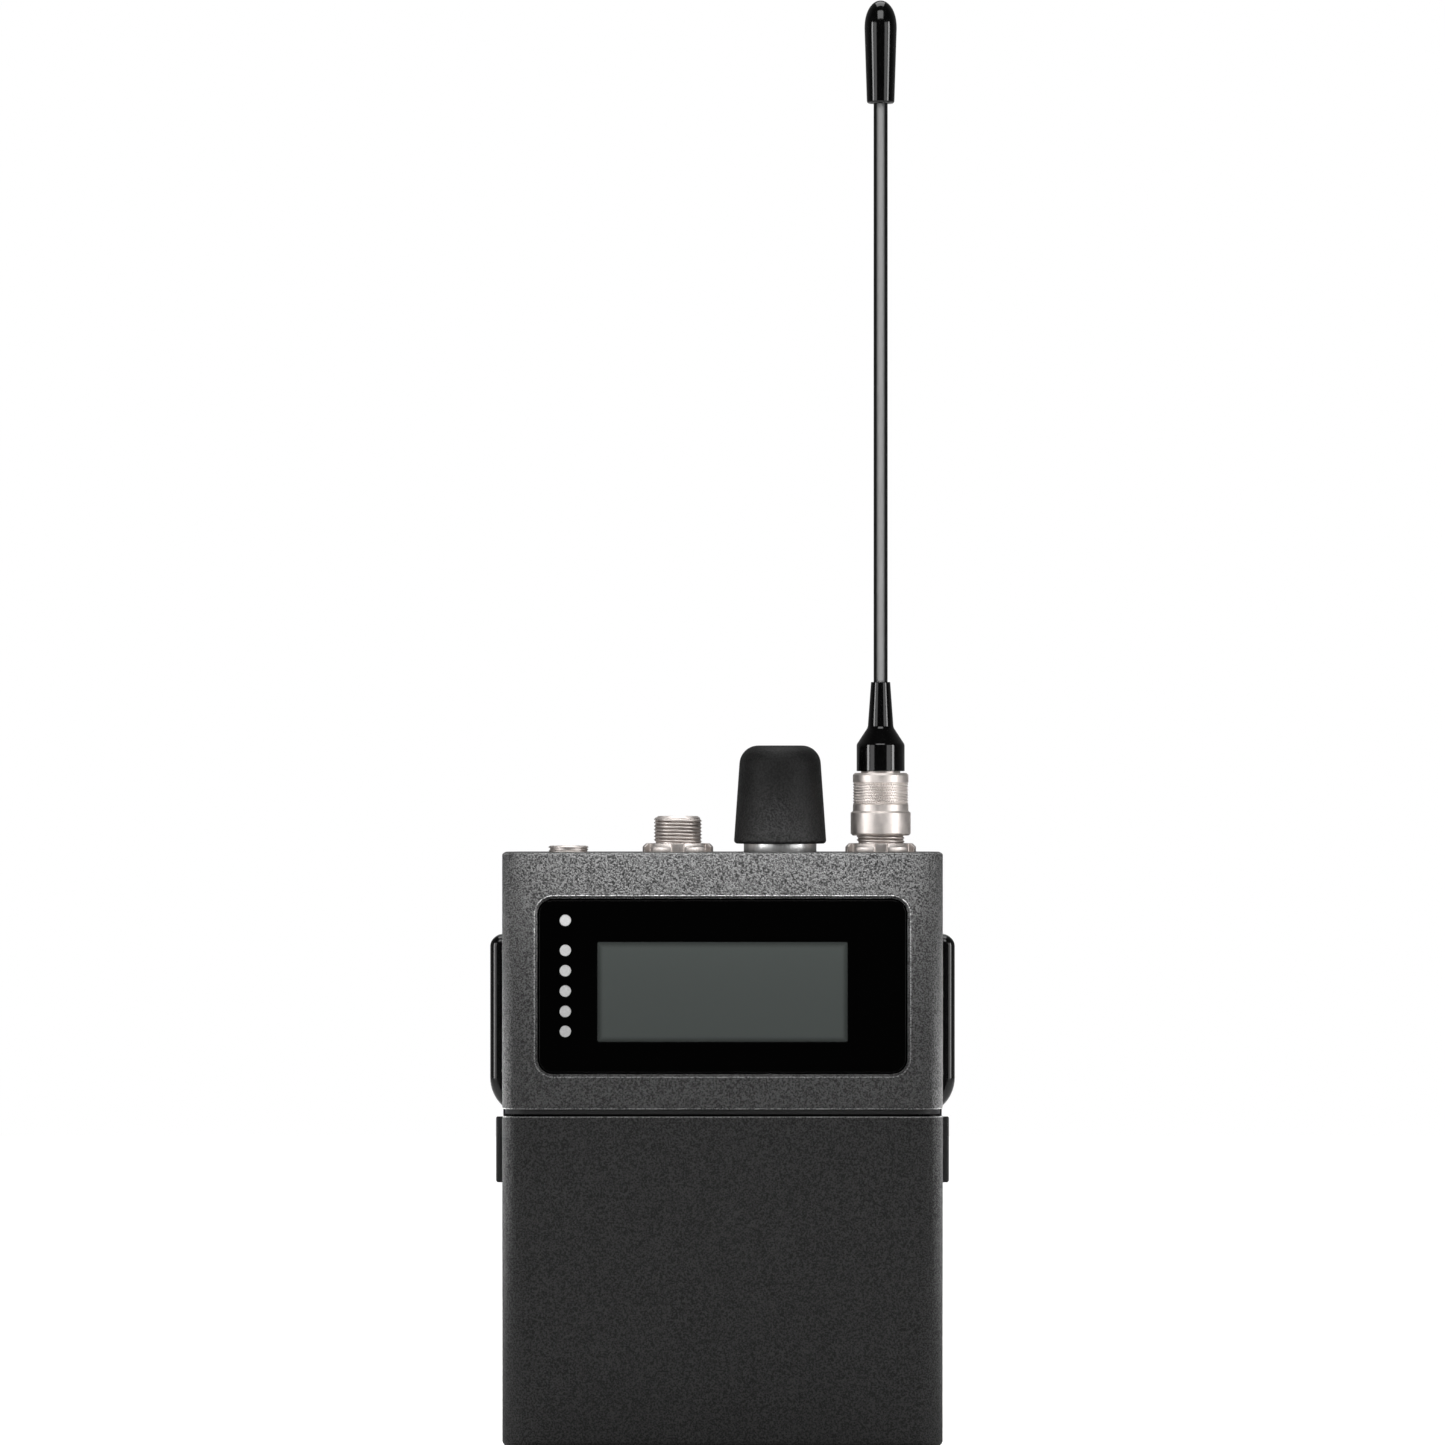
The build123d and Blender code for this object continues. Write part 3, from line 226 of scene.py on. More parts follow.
def lathe(name: str, profile: Profile, x: float, segments: int = 96, steps: int = 6) -> Object:
    """Turn an outline about the upright line at x.

    Args:
        name: the piece's name.
        profile: (radius, height, corner radius) for each corner, in millimetres.
        x: the axis's place across the case, in millimetres.
        segments: facets around the axis.
        steps: segments in each rounded corner.

    Returns:
        The turned piece.
    """
    shape = bmesh.new()
    rings = []
    for radius, height in rounded(profile, steps):
        ring = []
        for k in range(segments):
            angle = 2 * math.pi * k / segments
            if radius < 1e-6 and ring:
                ring.append(ring[0])
                continue
            place = (x + radius * math.cos(angle), radius * math.sin(angle), height)
            ring.append(shape.verts.new([c * MM for c in place]))
        rings.append(ring)
    skin(shape, rings)
    return finish_mesh(name, shape)


def dress(piece: Object, material: Material) -> None:
    """Give a piece one material all over.

    Args:
        piece: the object.
        material: its finish.
    """
    slots = piece.data.materials
    if len(slots) == 0:
        slots.append(material)
    for index in range(len(slots)):
        slots[index] = material


def place(piece: Object, body: Body, slot: str, replaced: Iterable[str] = ()) -> None:
    """Ride a finished piece on a body and hide the CAD nodes that it stands in for.

    Args:
        piece: the finished object, at the origin.
        body: the body it moves with.
        slot: the record's material slot; not used.
        replaced: the CAD nodes that it hides.
    """
    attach(piece, body.value)
    if replaced:
        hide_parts(*replaced)
    log.info("%s rides on %s, %d faces", piece.name, body.value, len(piece.data.polygons))


def soften(nodes: Iterable[str], width_mm: float, segments: int = 2) -> None:
    """Give CAD nodes small rounded edges that catch the light.

    Args:
        nodes: the CAD nodes' names.
        width_mm: the rounding's width, in millimetres.
        segments: facets across the rounding.
    """
    for name in nodes:
        node = frame["nodes"][name]
        weld = node.modifiers.new("weld", "WELD")
        weld.merge_threshold = 1e-6
        bevel = node.modifiers.new("edge", "BEVEL")
        bevel.width = width_mm * MM
        bevel.segments = segments
        bevel.limit_method = "ANGLE"
        bevel.angle_limit = math.radians(40)
        bevel.harden_normals = True
        log.info("%s has %.2f mm rounded edges", name, width_mm)


@dataclass
class Recipe:
    """A geometry node tree with named inputs, run once and turned into a plain mesh."""

    name: str
    inputs: dict[str, tuple[str, object]]
    tree: Tree = field(init=False)
    start: bpy.types.Node = field(init=False)

    def __post_init__(self) -> None:
        """Make the tree and its sockets."""
        self.tree = bpy.data.node_groups.new(self.name, "GeometryNodeTree")
        self.tree.interface.new_socket("Geometry", in_out="OUTPUT", socket_type="NodeSocketGeometry")
        self.tree.interface.new_socket("Geometry", in_out="INPUT", socket_type="NodeSocketGeometry")
        for label, (kind, _) in self.inputs.items():
            self.tree.interface.new_socket(label, in_out="INPUT", socket_type=kind)
        self.start = self.tree.nodes.new("NodeGroupInput")

    def given(self, label: str) -> Socket:
        """Find a named input inside the tree.

        Args:
            label: the input's name.

        Returns:
            Its socket.
        """
        return self.start.outputs[label]

    def add(self, kind: str, inputs: dict, **settings: object) -> bpy.types.Node:
        """Add one node to the tree.

        Args:
            kind: the node's Blender type name.
            inputs: what set_inputs takes.
            settings: the node's own properties.

        Returns:
            The new node.
        """
        return add_node(self.tree, kind, inputs, **settings)

    def helix(self, turns: Socket, radius: Socket, rise: Socket, resolution: int) -> Socket:
        """Wind a curve up the Z axis.

        Args:
            turns: the number of turns.
            radius: its radius.
            rise: its whole height.
            resolution: points in each turn.

        Returns:
            The curve.
        """
        inputs = {"Resolution": resolution, "Rotations": turns, "Height": rise}
        inputs |= {"Start Radius": radius, "End Radius": radius}
        return self.add("GeometryNodeCurveSpiral", inputs).outputs["Curve"]

    def sweep(self, path: Socket, sides: int, radius: Socket) -> Socket:
        """Sweep a regular polygon along a path and close its ends.

        Args:
            path: the curve.
            sides: the polygon's corners.
            radius: the polygon's radius.

        Returns:
            The mesh.
        """
        outline = self.add("GeometryNodeCurvePrimitiveCircle", {"Resolution": sides, "Radius": radius})
        inputs = {"Curve": path, "Profile Curve": outline.outputs["Curve"], "Fill Caps": True}
        return self.add("GeometryNodeCurveToMesh", inputs).outputs["Mesh"]

    def close(self, geometry: Socket, material: Material) -> None:
        """End the tree in real geometry with its material.

        Args:
            geometry: what the tree has made.
            material: its finish.
        """
        real = self.add("GeometryNodeRealizeInstances", {"Geometry": geometry})
        inputs = {"Geometry": real.outputs["Geometry"], "Material": material}
        painted = self.add("GeometryNodeSetMaterial", inputs)
        self.add("NodeGroupOutput", {"Geometry": painted.outputs["Geometry"]})

    def run(self, base: Object) -> Object:
        """Run the tree on an object and bake the result into its mesh.

        Args:
            base: the object that carries the modifier for a moment.

        Returns:
            The same object with a plain mesh.
        """
        modifier = base.modifiers.new(self.name, "NODES")
        modifier.node_group = self.tree
        for item in self.tree.interface.items_tree:
            if item.in_out == "INPUT" and item.name in self.inputs:
                modifier[item.identifier] = self.inputs[item.name][1]
        base.update_tag()
        bpy.context.view_layer.update()
        evaluated = base.evaluated_get(bpy.context.evaluated_depsgraph_get())
        baked = bpy.data.meshes.new_from_object(evaluated)
        base.modifiers.remove(modifier)
        base.data = baked
        return base


def blank(name: str) -> Object:
    """Make an object for a recipe that makes its own geometry.

    Args:
        name: the object's name.

    Returns:
        The object, with an empty mesh.
    """
    piece = bpy.data.objects.new(name, bpy.data.meshes.new(name))
    bpy.context.scene.collection.objects.link(piece)
    return piece


def join(name: str, pieces: Sequence[Object]) -> Object:
    """Put several meshes into one object, each face keeping its material.

    Args:
        name: the joined piece's name.
        pieces: the objects to join; they are removed.

    Returns:
        The joined object, at the origin.
    """
    materials = list(dict.fromkeys(m for piece in pieces for m in piece.data.materials))
    shape = bmesh.new()
    for piece in pieces:
        own = [materials.index(m) for m in piece.data.materials]
        done = len(shape.faces)
        shape.from_mesh(piece.data)
        shape.faces.ensure_lookup_table()
        for face in shape.faces[done:]:
            face.material_index = own[face.material_index]
    mesh = bpy.data.meshes.new(name)
    shape.to_mesh(mesh)
    shape.free()
    for material in materials:
        mesh.materials.append(material)
    for piece in pieces:
        bpy.data.objects.remove(piece)
    whole = bpy.data.objects.new(name, mesh)
    bpy.context.scene.collection.objects.link(whole)
    return whole


def thread(
    name: str, x: float, outer: float, low: float, high: float, pitch: float, material: Material
) -> Object:
    """Wind a V-shaped ridge up the upright line at x.

    Args:
        name: the ridge's name.
        x: the axis's place across the case, in millimetres.
        outer: the radius of the ridge's crest.
        low: the lowest point of the ridge.
        high: the highest point of the ridge.
        pitch: the rise per turn.
        material: the ridge's finish.

    Returns:
        The ridge as a plain mesh.
    """
    turns = (high - low) / pitch - 1
    recipe = Recipe(
        name,
        {
            "Radius": ("NodeSocketFloat", (outer - pitch / 2) * MM),
            "Turns": ("NodeSocketFloat", turns),
            "Rise": ("NodeSocketFloat", turns * pitch * MM),
            "Half width": ("NodeSocketFloat", pitch / 2 * MM),
            "Foot": ("NodeSocketVector", (x * MM, 0.0, (low + pitch / 2) * MM)),
        },
    )
    path = recipe.helix(recipe.given("Turns"), recipe.given("Radius"), recipe.given("Rise"), 64)
    upright = recipe.add("GeometryNodeSetCurveNormal", {"Curve": path}, mode="Z_UP")
    ridge = recipe.sweep(upright.outputs["Curve"], 4, recipe.given("Half width"))
    moved = recipe.add("GeometryNodeTransform", {"Geometry": ridge, "Translation": recipe.given("Foot")})
    recipe.close(moved.outputs["Geometry"], material)
    return recipe.run(blank(name))


# ---------------------------------------------------------------- finishes


@dataclass
class Textures:
    """The texture nodes that the finishes share, on the object's own coordinates."""

    tree: Tree
    at: Socket

    def noise(self, scale: float, detail: float, **more: float) -> Socket:
        """Add a noise texture.

        Args:
            scale: its cells per metre.
            detail: its octaves.
            more: its other inputs.

        Returns:
            The noise, about 0 to 1.
        """
        inputs = {"Vector": self.at, "Scale": scale, "Detail": detail, **more}
        return add_node(self.tree, "ShaderNodeTexNoise", inputs).outputs["Fac"]

    def ramp(
        self, factor: Socket, low: Colour, high: Colour, start: float = 0.0, end: float = 1.0
    ) -> Socket:
        """Blend from one colour to another.

        Args:
            factor: what drives the blend.
            low: the linear colour up to start.
            high: the linear colour from end on.
            start: the factor where the blend begins.
            end: the factor where it ends.

        Returns:
            The colour.
        """
        node = add_node(self.tree, "ShaderNodeValToRGB", {"Fac": factor})
        first, last = node.color_ramp.elements
        first.position, first.color = start, low
        last.position, last.color = end, high
        return node.outputs["Color"]

    def span(
        self, value: Socket, source: tuple[float, float], target: tuple[float, float]
    ) -> Socket:
        """Map a value from one range to another.

        Args:
            value: what is mapped.
            source: the range it comes in.
            target: the range it goes out in.

        Returns:
            The mapped value.
        """
        low, high = source
        inputs = {"Value": value, "From Min": low, "From Max": high, "To Min": target[0], "To Max": target[1]}
        return add_node(self.tree, "ShaderNodeMapRange", inputs).outputs["Result"]

    def bump(self, height: Socket, strength: float, depth_mm: float) -> Socket:
        """Raise the surface by a texture.

        Args:
            height: the texture.
            strength: how much of it is felt.
            depth_mm: the depth it stands for.

        Returns:
            The bumped normal.
        """
        inputs = {"Height": height, "Strength": strength, "Distance": depth_mm * MM}
        return add_node(self.tree, "ShaderNodeBump", inputs).outputs["Normal"]


@dataclass(frozen=True)
class Finish:
    """A surface made of the principled shader, fed by a few textures."""

    name: str

    def build(self) -> Material:
        """Make the material.

        Returns:
            The material with its nodes.
        """
        material = bpy.data.materials.new(self.name)
        material.use_nodes = True
        tree = material.node_tree
        textures = Textures(tree, add_node(tree, "ShaderNodeTexCoord").outputs["Object"])
        set_inputs(tree, tree.nodes["Principled BSDF"], self.wire(textures))
        return material

    def wire(self, textures: Textures) -> dict[str, object]:
        """Add the finish's own nodes.

        Args:
            textures: the maker of texture nodes.

        Returns:
            The shader's inputs, each a value or the socket that feeds it.
        """
        raise NotImplementedError


@dataclass(frozen=True)
class GrainedCoat(Finish):
    """Textured coat or spark-eroded moulding: a tight orange-peel grain whose peaks are painted lighter,
    partly grain tone and partly a painted highlight.
    """

    base: str = "0E0E0E"
    # The peak colour is grain tone and a painted highlight on the grain's peaks.
    peak_tone_and_highlight: str = "4A4A4A"
    grain_mm: float = 0.22
    bump_mm: float = 0.16
    roughness: float = 0.48
    specular: float = 0.38
    contrast: float = 0.13

    def wire(self, textures: Textures) -> dict[str, object]:
        """Grain from fine noise, its peaks painted lighter as grain tone and painted highlight, with slow
        patches of polish from handling.

        Args:
            textures: the maker of texture nodes.

        Returns:
            The shader's inputs.
        """
        fine = textures.noise(1 / (self.grain_mm * MM), 1.5, Roughness=0.5)
        patch = textures.noise(55.0, 3.0)
        low, high = 0.5 - self.contrast, 0.5 + self.contrast
        return {
            "Base Color": textures.ramp(fine, linear(self.base), linear(self.peak_tone_and_highlight), low, high),
            "Roughness": textures.span(patch, (0.3, 0.7), (self.roughness - 0.05, self.roughness + 0.06)),
            "Normal": textures.bump(fine, 1.0, self.bump_mm),
            "Specular IOR Level": self.specular,
        }


@dataclass(frozen=True)
class PolishedPlastic(Finish):
    """Polished ABS or acrylic: deep colour, sharp reflections, faint haze and a trace of waviness."""

    base: str = "050505"
    roughness: float = 0.08
    haze: float = 0.05
    specular: float = 0.5
    waviness_mm: float = 0.01

    def wire(self, textures: Textures) -> dict[str, object]:
        """Roughness and waviness from slow smudges.

        Args:
            textures: the maker of texture nodes.

        Returns:
            The shader's inputs.
        """
        smudge = textures.noise(120.0, 5.0, Roughness=0.62, Distortion=0.4)
        return {
            "Base Color": textures.ramp(smudge, linear(self.base), shade(self.base, 1.35)),
            "Roughness": textures.span(smudge, (0.35, 0.75), (self.roughness, self.roughness + self.haze)),
            "Normal": textures.bump(smudge, 0.25, self.waviness_mm),
            "Specular IOR Level": self.specular,
        }


@dataclass(frozen=True)
class TurnedMetal(Finish):
    """Plated or bare turned metal: bright, slightly warm, with fine rings left by the lathe."""

    base: str = "EBE3DE"
    roughness: float = 0.45
    ring_mm: float = 0.16
    bump_mm: float = 0.004

    def wire(self, textures: Textures) -> dict[str, object]:
        """Rings drawn coarser than real feed marks, so that they show, and cloudy plating.

        Args:
            textures: the maker of texture nodes.

        Returns:
            The shader's inputs.
        """
        rings = add_node(
            textures.tree,
            "ShaderNodeTexWave",
            {
                "Vector": textures.at,
                "Scale": 1 / (self.ring_mm * MM * 3.2),
                "Distortion": 0.6,
                "Detail": 2.0,
            },
            wave_type="BANDS",
            bands_direction="Z",
        ).outputs["Fac"]
        cloud = textures.noise(900.0, 4.0)
        return {
            "Base Color": textures.ramp(cloud, shade(self.base, 0.86), linear(self.base), 0.3, 0.7),
            "Roughness": textures.span(cloud, (0.3, 0.7), (self.roughness - 0.05, self.roughness + 0.05)),
            "Normal": textures.bump(rings, 0.6, self.bump_mm),
            "Metallic": 1.0,
        }


@dataclass(frozen=True)
class DisplayFace(Finish):
    """Liquid crystal behind its polariser: an even grey-green given as a painted glow, with painted shade at
    its frame where the recess shadows it.
    """

    base: str = "4B504E"
    # edge is the colour of the painted shade at the frame; glow is a painted glow, as the display is unlit.
    edge: str = "232625"
    diffuse: str = "161817"
    glow: float = 0.62
    roughness: float = 0.22
    centre: Point = (0.0, 0.0, 0.066)
    half_width: float = 0.0181
    half_height: float = 0.0072
    shade_mm: float = 0.9

    def wire(self, textures: Textures) -> dict[str, object]:
        """Paint shade towards the four edges by the distance to the nearest one, on top of a painted glow.

        Args:
            textures: the maker of texture nodes.

        Returns:
            The shader's inputs.
        """
        tree = textures.tree
        maths = partial(maths_node, tree)
        split = add_node(tree, "ShaderNodeSeparateXYZ", {"Vector": textures.at})
        gaps = [
            maths("SUBTRACT", half, maths("ABSOLUTE", maths("SUBTRACT", split.outputs[axis], middle)))
            for axis, middle, half in (
                ("X", self.centre[0], self.half_width),
                ("Z", self.centre[2], self.half_height),
            )
        ]
        inner = add_node(
            tree,
            "ShaderNodeMapRange",
            {"Value": maths("MINIMUM", *gaps), "From Min": 0.0, "From Max": self.shade_mm * MM},
            interpolation_type="SMOOTHSTEP",
        )
        return {
            "Base Color": linear(self.diffuse),
            # Painted glow, with painted shade towards the frame.
            "Emission Color": textures.ramp(inner.outputs["Result"], linear(self.edge), linear(self.base)),
            "Emission Strength": self.glow,
            "Roughness": self.roughness,
            "Normal": textures.bump(textures.noise(4000.0, 1.0), 0.1, 0.003),
        }


@dataclass(frozen=True)
class PlainMoulding(Finish):
    """Everyday moulded or cast part: even colour with mottling and a soft, slightly uneven gloss."""

    base: str = "1B1B1C"
    roughness: float = 0.5
    mottle_mm: float = 0.6
    bump_mm: float = 0.01
    metallic: float = 0.0
    # glow: emission of the tinted colour, a painted glow on parts that are no lamp.
    glow: float = 0.0

    def wire(self, textures: Textures) -> dict[str, object]:
        """Mottled colour, roughness and a light bump from one noise.

        Args:
            textures: the maker of texture nodes.

        Returns:
            The shader's inputs.
        """
        mottle = textures.noise(1 / (self.mottle_mm * MM), 4.0, Roughness=0.6)
        tint = textures.ramp(mottle, shade(self.base, 0.82), shade(self.base, 1.12), 0.25, 0.75)
        return {
            "Base Color": tint,
            "Roughness": textures.span(mottle, (0.3, 0.7), (self.roughness - 0.06, self.roughness + 0.06)),
            "Normal": textures.bump(mottle, 0.7, self.bump_mm),
            "Metallic": self.metallic,
            # A painted glow wherever glow is above zero.
            "Emission Color": tint,
            "Emission Strength": self.glow,
        }


@dataclass(frozen=True)
class PaintedFacingHighlight(Finish):
    """Colour painted by the view: pale face on, a painted highlight down the middle, dark where it is seen
    edgeways.
    """

    # core is the painted highlight's colour face on, rim the colour seen edgeways.
    core: str = "C4C4C4"
    rim: str = "040404"
    rim_at: float = 0.2
    roughness: float = 0.5
    specular: float = 0.2
    waviness_mm: float = 0.01

    def wire(self, textures: Textures) -> dict[str, object]:
        """Colour from how squarely the surface faces the view, a painted highlight, with a little waviness.

        Args:
            textures: the maker of texture nodes.

        Returns:
            The shader's inputs.
        """
        # Facing drives the painted highlight.
        depth = add_node(textures.tree, "ShaderNodeLayerWeight", {"Blend": 0.5}).outputs["Facing"]
        return {
            "Base Color": textures.ramp(depth, linear(self.core), linear(self.rim), 0.0, self.rim_at),
            "Normal": textures.bump(textures.noise(420.0, 3.0), 0.3, self.waviness_mm),
            "Roughness": self.roughness,
            "Specular IOR Level": self.specular,
        }


@dataclass
class Finishes:
    """Every material of the object, by the slot name that the record gives it."""

    slots: dict[str, Material] = field(default_factory=dict)

    def build(self) -> "Finishes":
        """Make each material once.

        Returns:
            These finishes, with every slot filled.
        """
        finishes = {
            # The grey case: a fine sparkle, partly painted highlight on the grain's peaks, that tells painted
            # metal from plastic.
            "shell_paint": GrainedCoat("textured_paint_on_magnesium"),
            # The battery door: a darker, duller grain, so that it reads as another material.
            "door_plastic": GrainedCoat(
                "spark_textured_polycarbonate",
                base="080808",
                peak_tone_and_highlight="363636",
                roughness=0.55,
                bump_mm=0.11,
                specular=0.26,
            ),
            # Frame and latches: near black and quiet, so that the groove reads as a gap.
            "frame_plastic": GrainedCoat(
                "matte_moulded_nylon", base="0A0A0B", peak_tone_and_highlight="131314", bump_mm=0.015
            ),
            # The window: a black mirror with hardly any haze.
            "window_black": PolishedPlastic(
                "back_printed_acrylic", base="000000", roughness=0.02, haze=0.02, specular=0.3
            ),
            # The display: a flat grey as a painted glow, with painted shade at its frame.
            "lcd_grey": DisplayFace("liquid_crystal_face"),
            # The six status dots: small, even and the brightest thing on the front; their brightness is a
            # painted glow.
            "light_white": PlainMoulding(
                "light_guide_polycarbonate", base="5E5E5E", roughness=0.35, mottle_mm=0.3, glow=2.9
            ),
            # Clip arms, boot and tip: sharp streaks from the strip lights.
            "gloss_black": PolishedPlastic("polished_black_abs"),
            # The knob: a soft broad sheen with a rubbery grain.
            "knob_rubber": GrainedCoat(
                "soft_touch_lacquer",
                base="050505",
                peak_tone_and_highlight="1C1C1C",
                grain_mm=0.28,
                bump_mm=0.08,
                roughness=0.55,
                specular=0.25,
            ),
            # The fine lines round the window and along the groove: a thin light edge, a painted highlight.
            "painted_highlight_edge": GrainedCoat(
                "painted_edge_highlight", base="3A3A3A", peak_tone_and_highlight="939393", bump_mm=0.01, roughness=0.3
            ),
            # The connectors and their nuts: warm satin metal with soft gradients.
            "nickel": TurnedMetal("satin_nickel_plate"),
            # The collar under the knob: a cooler, tighter shine than the nickel.
            "collar_metal": TurnedMetal("turned_aluminium", base="DADADA", roughness=0.35),
            # Springs and pins: plain grey steel.
            "steel": TurnedMetal("bare_spring_steel", base="A9A9A8", roughness=0.38),
            # The screws: dark metal that glints in its drive.
            "screw_black": PlainMoulding("black_zinc_plate", base="2A2A2B", metallic=0.6, roughness=0.4),
            # The boards: the only green, seen with the door open or in a cutaway.
            "board_green": PlainMoulding("solder_masked_laminate", base="0E4A2A", roughness=0.35),
            # Contacts: small warm glints inside the sockets and the bay.
            "gold": TurnedMetal("gold_flashed_bronze", base="D8B36A", roughness=0.25),
            # The antenna's insulators: a pale ring round each contact.
            "insulator_white": PlainMoulding("white_fluoropolymer", base="D9D7D0", roughness=0.4),
            # The audio connector's insulator: a dark floor behind its pins.
            "insulator_black": PlainMoulding("black_insulator", base="151516", roughness=0.45),
            # The battery: a blue-grey case that stands apart from the bay.
            "battery_wrap": PlainMoulding("battery_case_abs", base="24272C", roughness=0.42),
            # The pad on the door: dead matte and open grained.
            "pad_foam": PlainMoulding("closed_cell_foam", base="161616", roughness=0.9, bump_mm=0.12),
            # The whip: one light line down its middle, a painted highlight, dark at its sides.
            "rod_sheath": PaintedFacingHighlight("view_angle_painted_highlight"),
        }
        self.slots = {slot: finish.build() for slot, finish in finishes.items()}
        return self

    def dress_frame(self) -> None:
        """Put each CAD node's material on it."""
        for part in frame["record"]["subparts"]:
            dress(frame["nodes"][part["node"]], self.slots[part["material_slot"]])


# ---------------------------------------------------------------- studio


@dataclass(frozen=True)
class Softbox:
    """One rectangular light: where it hangs, what it lights and how."""

    name: str
    at: Point
    aim: Point
    size: tuple[float, float]
    watts: float
    spread: float = 180.0
    mirrored: bool = True
    diffuse: bool = True


@dataclass
class Studio:
    """A white sweep with soft boxes, and the camera square on to the front."""

    floor_size: float = 1.3
    lens_mm: float = 300.0
    camera_distance: float = 1.7553
    camera_height: float = 0.1051
    paper_glow: float = 0.98
    room_light: float = 0.04
    back_light: float = 0.2

    def camera(self) -> None:
        """Set the camera at the middle of the object's height."""
        data = bpy.data.cameras.new("camera")
        data.lens = self.lens_mm
        data.clip_end = 50.0
        camera = bpy.data.objects.new("camera", data)
        camera.location = (0.0, -self.camera_distance, self.camera_height)
        camera.rotation_euler = (math.radians(90), 0.0, 0.0)
        bpy.context.scene.collection.objects.link(camera)
        bpy.context.scene.camera = camera

    def softbox(self, box: "Softbox") -> None:
        """Hang one rectangular light that the camera does not see.

        Args:
            box: its place, aim, size and power.
        """
        data = bpy.data.lights.new(box.name, "AREA")
        data.shape = "RECTANGLE"
        data.size, data.size_y = box.size
        data.energy = box.watts
        data.spread = math.radians(box.spread)
        lamp = bpy.data.objects.new(box.name, data)
        lamp.location = box.at
        lamp.rotation_euler = (Vector(box.aim) - Vector(box.at)).to_track_quat("-Z", "Y").to_euler()
        lamp.visible_camera = False
        lamp.visible_glossy = box.mirrored
        lamp.visible_diffuse = box.diffuse
        bpy.context.scene.collection.objects.link(lamp)

    def lights(self) -> None:
        """Hang two boxes above, a wash on the panel, and two strips, a grid and a rear box each side."""
        middle = (0.0, 0.0, 0.1)
        boxes = [
            Softbox("top_box", (0.0, -0.55, 0.62), (0.0, 0.0, 0.06), (0.5, 0.35), 2.1),
            Softbox("sky_box", (0.0, 0.12, 0.75), (0.0, 0.0, 0.09), (0.5, 0.5), 2.4),
            Softbox(
                "panel_wash", (0.0, -0.033, 0.106), (0.0, -0.01, 0.083), (0.062, 0.008), 0.02, 50.0, False
            ),
        ]
        for side, word in ((-1.0, "left"), (1.0, "right")):
            outer, inner = (0.71 * side, -0.38, 0.14), (0.52 * side, -0.6, 0.14)
            grid, rim = (0.27 * side, 0.14, 0.046), (0.032 * side, 0.0, 0.046)
            rear, back = (0.6 * side, 0.75, 0.45), (0.0, 0.01, 0.06)
            boxes += [
                Softbox(f"{word}_outer_strip", outer, middle, (0.16, 0.5), 2.0, diffuse=False),
                Softbox(f"{word}_inner_strip", inner, middle, (0.3, 0.5), 0.9, diffuse=False),
                Softbox(f"{word}_grid", grid, rim, (0.03, 0.03), 0.09, 16.0, False),
                Softbox(f"{word}_rear", rear, back, (0.4, 0.4), 0.9, 60.0, False),
            ]
        for box in boxes:
            self.softbox(box)

    def floor(self) -> None:
        """Lay the pale floor: paper that glows white to the camera and bounces a little light."""
        shape = bmesh.new()
        bmesh.ops.create_grid(shape, x_segments=1, y_segments=1, size=self.floor_size)
        floor = finish_mesh("studio_floor", shape)
        paper = PlainMoulding("white_sweep_paper", base="F4F4F4", roughness=0.9).build()
        tree = paper.node_tree
        shader = tree.nodes["Principled BSDF"].outputs[0]
        glow = add_node(tree, "ShaderNodeEmission", {"Color": WHITE, "Strength": self.paper_glow})
        both = add_node(tree, "ShaderNodeAddShader", {0: shader, 1: glow.outputs[0]})
        seen = add_node(tree, "ShaderNodeLightPath").outputs["Is Camera Ray"]
        mix = add_node(tree, "ShaderNodeMixShader", {0: seen, 1: shader, 2: both.outputs[0]})
        tree.links.new(mix.outputs[0], tree.nodes["Material Output"].inputs["Surface"])
        dress(floor, paper)

    def world(self) -> None:
        """White where the camera looks; for the light on the object dim in front and paler behind."""
        world = bpy.data.worlds.new("studio")
        bpy.context.scene.world = world
        world.use_nodes = True
        tree = world.node_tree
        tree.nodes.clear()
        textures = Textures(tree, add_node(tree, "ShaderNodeTexCoord").outputs["Generated"])
        depth = add_node(tree, "ShaderNodeSeparateXYZ", {"Vector": textures.at}).outputs["Y"]
        level = textures.span(depth, (-0.2, 0.9), (self.room_light, self.back_light))
        dim = add_node(tree, "ShaderNodeBackground", {"Color": WHITE, "Strength": level})
        white = add_node(tree, "ShaderNodeBackground", {"Color": WHITE, "Strength": 1.0})
        seen = add_node(tree, "ShaderNodeLightPath").outputs["Is Camera Ray"]
        mix = add_node(tree, "ShaderNodeMixShader", {0: seen, 1: dim.outputs[0], 2: white.outputs[0]})
        add_node(tree, "ShaderNodeOutputWorld", {"Surface": mix.outputs["Shader"]})

    def build(self) -> None:
        """Make the camera, the lights, the world and the floor."""
        bpy.context.scene.view_settings.view_transform = "Standard"
        self.camera()
        self.lights()
        self.world()
        self.floor()


# ---------------------------------------------------------------- assemblies


